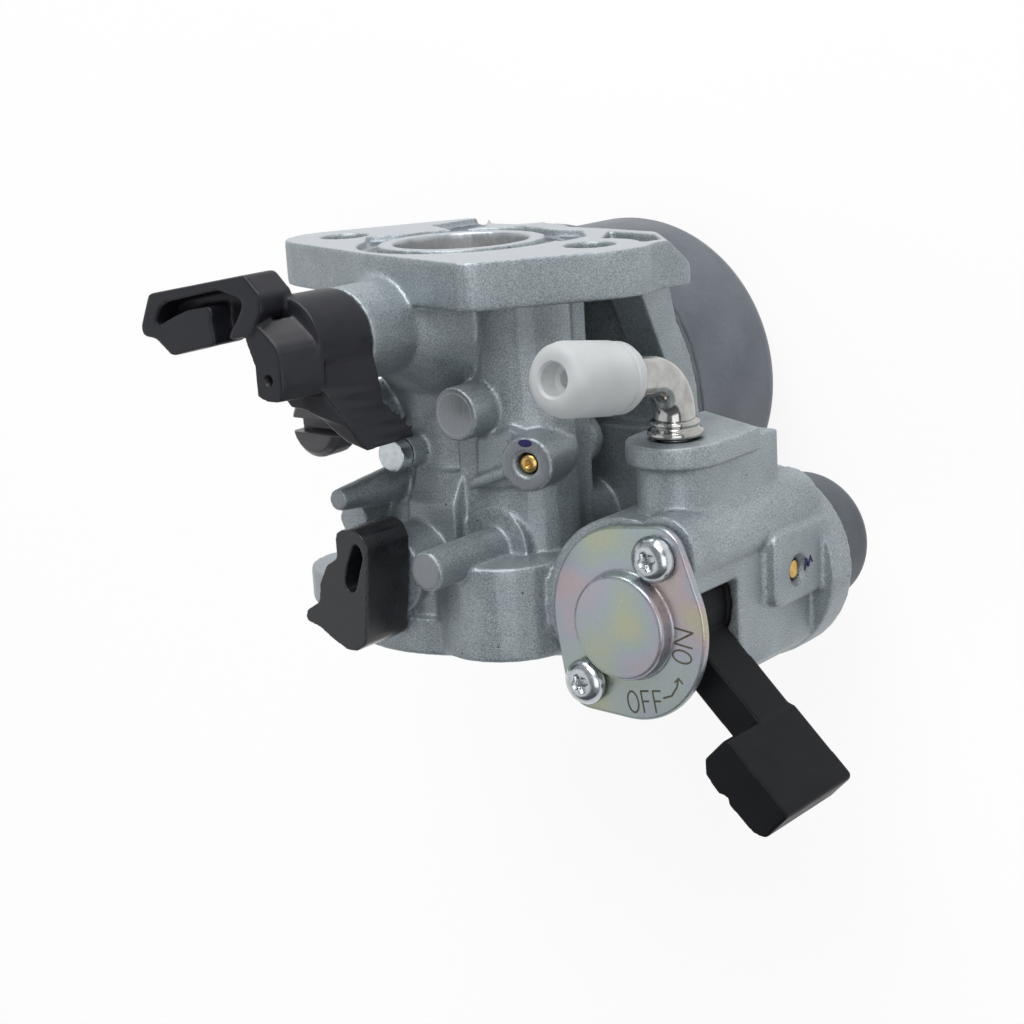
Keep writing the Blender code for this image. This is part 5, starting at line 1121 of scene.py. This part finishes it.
@dataclass
class FuelInlet:
    """The bent inlet tube with its bead, and the milky cap on it."""

    shop: Shop
    foot: Triple = (36.2 * MM, -22.5 * MM, 4.8 * MM)
    seat: float = 4.5 * MM
    rise: float = 3.0 * MM
    bend_r: float = 5.4 * MM
    bend_turn: float = math.radians(81.0)
    reach: float = 13.0 * MM
    tube_r: float = 2.5 * MM
    bore_r: float = 1.6 * MM
    bore_depth: float = 8.0 * MM
    bead_r: float = 3.5 * MM
    bead_bite: float = 0.1 * MM
    bead_edge: float = 0.06 * MM
    cap_r: float = 4.4 * MM
    cap_length: float = 13.4 * MM
    cap_overlap: float = 7.0 * MM
    socket_r: float = 2.8 * MM
    dimple_r: float = 1.9 * MM
    dimple_depth: float = 3.0 * MM
    hole_r: float = 1.2 * MM

    def build(self) -> None:
        """Builds the tube and the cap."""
        self.build_tube()
        self.build_cap()

    def heading(self) -> Vector:
        """Returns the direction of the tube's open end."""
        return Vector((0.0, math.cos(self.bend_turn), math.sin(self.bend_turn)))

    def tube_end(self) -> Vector:
        """Returns the middle of the tube's open end."""
        across = self.rise + self.bend_r * math.sin(self.bend_turn)
        up = self.bend_r * (1.0 - math.cos(self.bend_turn))
        return Vector(self.foot) + Vector((0.0, across, up)) + self.heading() * self.reach

    def build_tube(self) -> None:
        """Builds the tube by bending a circle round, and the bead at its foot."""
        work = bmesh.new()
        foot, ahead, heading = Vector(self.foot), Vector((0, 1, 0)), self.heading()
        start = facing(ahead, foot - Vector((0, self.seat, 0)))
        ring = ops.create_circle(work, segments=48, radius=self.tube_r, matrix=start)["verts"]
        points, lines = grown(work, list({line for point in ring for line in point.link_edges}))
        ops.translate(work, verts=points, vec=(0, self.seat + self.rise, 0))
        centre = foot + Vector((0, self.rise, self.bend_r))
        bent = ops.spin(
            work, geom=points + lines, cent=centre, axis=(1, 0, 0), angle=self.bend_turn, steps=32
        )["geom_last"]
        points, lines = grown(work, [item for item in bent if isinstance(item, Edge)])
        ops.translate(work, verts=points, vec=heading * self.reach)
        points, lines = grown(work, lines)
        shrink = Vector((1, 1, 1)) * (self.bore_r / self.tube_r)
        ops.scale(work, vec=shrink, verts=points, space=placed(-self.tube_end()))
        points, lines = grown(work, lines)
        ops.translate(work, verts=points, vec=heading * -self.bore_depth)
        ops.contextual_create(work, geom=lines)
        ops.recalc_face_normals(work, faces=work.faces)
        self.shop.add("fuel_elbow_tube", work, Body.MAIN, "steel", "fuel_elbow")
        inner = self.tube_r - self.bead_bite
        swell = [(0.4, 0.3), (0.05, 0.5), (0.0, 0.8), (0.1, 1.15), (0.5, 1.35), (0.68, 1.6), (0.45, 1.95)]
        swell += [(0.5, 2.3), (0.8, 2.5)]
        profile = [(inner, 0.3 * MM), *inset(self.bead_r, swell), (inner, 2.55 * MM)]
        work = self.shop.turned(profile, facing(ahead, foot), self.bead_edge, closed=True)
        self.shop.add("fuel_elbow_bead", work, Body.MAIN, "steel")

    def build_cap(self) -> None:
        """Builds the cap with a lip at its mouth and a stepped hole in its crown."""
        r, s, d, hole = self.cap_r, self.socket_r, self.dimple_r, self.hole_r
        end, floor = self.cap_length, self.cap_length - self.dimple_depth
        inner = self.cap_overlap + 0.3 * MM
        profile = [(hole, inner), *inset(s, [(0.3, 0.0), (0.0, -0.3)], inner)]
        profile += inset(s, [(0.0, 0.4), (-0.3, 0.0)])
        profile += inset(r, [(1.1, 0.05), (0.4, 0.5), (0.1, 1.2), (0.1, 2.3), (0.28, 2.5), (0.05, 2.8)])
        profile += inset(r, [(0.0, 3.4)])
        profile += inset(r, [(0.0, -2.2), (0.25, -1.1), (0.8, -0.35), (1.6, 0.0)], end)
        profile += inset(d, [(-0.3, 0.0), (0.0, -0.3)], end)
        profile += [*inset(d, [(0.15, 0.3), (0.5, 0.0)], floor), (hole, floor)]
        mouth = self.tube_end() - self.heading() * self.cap_overlap
        work = self.shop.turned(profile, facing(self.heading(), mouth), steps=64, closed=True)
        self.shop.add("inlet_cap_shape", work, Body.CAP, "milky_plastic", "inlet_cap")


@dataclass
class IdleSpring:
    """The wound spring under the idle-stop screw's head."""

    shop: Shop
    wire_r: float = 0.4 * MM
    curls: int = 3
    steps_a_curl: int = 36

    def build(self) -> None:
        """Builds the spring by spinning a circle upwards."""
        low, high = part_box("idle_stop_spring")
        centre = (low + high) / 2
        coil_r = (high.x - low.x) / 2 - self.wire_r
        steps = self.curls * self.steps_a_curl
        climb = (high.z - low.z - 2 * self.wire_r) / steps
        start = facing(Vector((0, 1, 0)), Vector((centre.x + coil_r, centre.y, low.z + self.wire_r)))
        work = bmesh.new()
        circle = {"segments": 14, "radius": self.wire_r, "cap_ends": True}
        ring = ops.create_circle(work, matrix=start, **circle)["verts"]
        lines = list({line for point in ring for line in point.link_edges})
        bent = ops.spin(
            work,
            geom=ring + lines,
            cent=(centre.x, centre.y, 0.0),
            axis=(0, 0, 1),
            dvec=(0, 0, climb),
            angle=math.tau * self.curls,
            steps=steps,
        )["geom_last"]
        ops.contextual_create(work, geom=[item for item in bent if isinstance(item, Edge)])
        ops.recalc_face_normals(work, faces=work.faces)
        self.shop.add("idle_stop_spring_shape", work, Body.MAIN, "steel", "idle_stop_spring")


@dataclass
class Studio:
    """White floor, soft lamps and the camera of the photograph."""

    floor_size: float = 8.0
    backdrop_rise: float = 1.6
    clearance: float = 0.2 * MM
    lens: float = 71.66
    sensor: float = 36.0
    eye: Triple = (173.86 * MM, 29.89 * MM, 205.08 * MM)
    right: Triple = (0.7813, -0.0564, -0.6215)
    up: Triple = (-0.1082, 0.9686, -0.2239)
    back: Triple = (0.6147, 0.2422, 0.7507)
    floor_glow: float = 0.88
    sky_turn: float = math.radians(70.0)
    sky_power: float = 0.45
    sky_stops: tuple[tuple[float, Triple], ...] = ((0.2, (0.2, 0.21, 0.24)), (0.95, (0.95, 0.97, 1.0)))
    lamps: tuple[tuple[str, Triple, float, float], ...] = (
        ("top_lamp", (-0.1, 1.05, 0.15), 0.6, 8.0),
        ("key_lamp", (0.35, 0.95, 0.8), 0.7, 10.0),
        ("sky_lamp", (-0.75, -0.3, 0.95), 1.2, 3.2),
        ("front_lamp", (0.8, -0.1, 0.95), 0.8, 3.8),
    )

    def build(self) -> None:
        """Builds the floor, the light and the camera."""
        self.build_floor()
        self.build_world()
        for name, place, size, power in self.lamps:
            self.lamp(name, place, size, power)
        self.build_camera()
        bpy.context.scene.view_settings.view_transform = "Standard"

    def build_floor(self) -> None:
        """Lays the floor just under the lowest point, with a backdrop at its far edges."""
        work = bmesh.new()
        level = CAD_BOX[0][2] - self.clearance
        ops.create_grid(work, size=self.floor_size / 2, matrix=placed((0.0, 0.0, level)))
        upper = grown(work, [line for line in work.edges if line.is_boundary])[0]
        ops.translate(work, verts=upper, vec=UP * self.backdrop_rise)
        mesh = bpy.data.meshes.new("floor")
        work.to_mesh(mesh)
        work.free()
        floor = shown("floor", mesh)
        wiring = Wiring("white_floor")
        wiring.surface(Base_Color=(0.95, 0.95, 0.95, 1.0), Roughness=0.9)
        glow = wiring.add("ShaderNodeEmission")
        rays = wiring.add("ShaderNodeLightPath").outputs
        seen = rays["Is Camera Ray"]
        for kind in ("Is Glossy Ray", "Is Transmission Ray"):
            either = wiring.add("ShaderNodeMath", operation="ADD", use_clamp=True)
            wiring.link(seen, either.inputs[0])
            wiring.link(rays[kind], either.inputs[1])
            seen = either.outputs["Value"]
        share = wiring.add("ShaderNodeMath", operation="MULTIPLY")
        share.inputs[1].default_value = self.floor_glow
        wiring.link(seen, share.inputs[0])
        mix = wiring.add("ShaderNodeMixShader")
        wiring.link(share.outputs["Value"], mix.inputs["Fac"])
        wiring.link(wiring.shader.outputs["BSDF"], mix.inputs[1])
        wiring.link(glow.outputs["Emission"], mix.inputs[2])
        wiring.link(mix.outputs["Shader"], wiring.tree.nodes["Material Output"].inputs["Surface"])
        mesh.materials.append(wiring.material)

    def build_world(self) -> None:
        """Makes a soft sky, brightest behind the engine flange."""
        world = bpy.data.worlds.new("studio")
        world.use_nodes = True
        bpy.context.scene.world = world
        tree, sky = world.node_tree, world.node_tree.nodes["Background"]
        kinds = ("TexCoord", "Mapping", "SeparateXYZ", "MapRange", "ValToRGB")
        place, turn, split, stretch, ramp = [tree.nodes.new(f"ShaderNode{kind}") for kind in kinds]
        turn.inputs["Rotation"].default_value = (self.sky_turn, 0.0, 0.0)
        stretch.inputs["From Min"].default_value = -1.0
        for mark, (spot, colour) in zip(ramp.color_ramp.elements, self.sky_stops):
            mark.position = spot
            mark.color = (*colour, 1.0)
        tree.links.new(place.outputs["Generated"], turn.inputs["Vector"])
        tree.links.new(turn.outputs["Vector"], split.inputs["Vector"])
        tree.links.new(split.outputs["Z"], stretch.inputs["Value"])
        tree.links.new(stretch.outputs["Result"], ramp.inputs["Fac"])
        tree.links.new(ramp.outputs["Color"], sky.inputs["Color"])
        sky.inputs["Strength"].default_value = self.sky_power

    def lamp(self, name: str, place: Triple, size: float, power: float) -> None:
        """Hangs a square soft lamp that faces the object.

        Args:
            name: The lamp's name.
            place: Where it hangs.
            size: Length of its side.
            power: Its power in watts.
        """
        data = bpy.data.lights.new(name, "AREA")
        data.size = size
        data.energy = power
        lamp = shown(name, data)
        lamp.location = place
        lamp.rotation_euler = Vector(place).to_track_quat("Z", "Y").to_euler()

    def build_camera(self) -> None:
        """Puts the camera where the photograph was taken from."""
        data = bpy.data.cameras.new("camera")
        data.lens = self.lens
        data.sensor_width = self.sensor
        data.clip_start = 0.01
        camera = shown("camera", data)
        turn = Matrix((self.right, self.up, self.back)).transposed().to_4x4()
        turn.translation = self.eye
        camera.matrix_world = turn
        bpy.context.scene.camera = camera


def main() -> None:
    """Builds every sub-assembly in order."""
    logging.basicConfig(level=logging.INFO, format="%(message)s")
    shop = Shop()
    Casting(shop).build()
    Pressings(shop).build()
    ThrottleLever(shop).build()
    Moulding(shop, "choke_lever", Body.CHOKE, "gloss_black", 0.18 * MM).build()
    Moulding(shop, "fuel_lever", Body.COCK, "black_plastic").build()
    Moulding(shop, "idle_stop_screw", Body.IDLE, "screw_plastic", 0.14 * MM).build()
    Moulding(shop, "pilot_jet", Body.MAIN, "zinc_steel", 0.12 * MM).build()
    HexScrew(shop, "bowl_bolt").build()
    HexScrew(shop, "drain_screw").build()
    FuelPlate(shop).build()
    BrassScrews(shop).build()
    FuelInlet(shop).build()
    IdleSpring(shop).build()
    Studio().build()


if __name__ == "__main__":
    main()
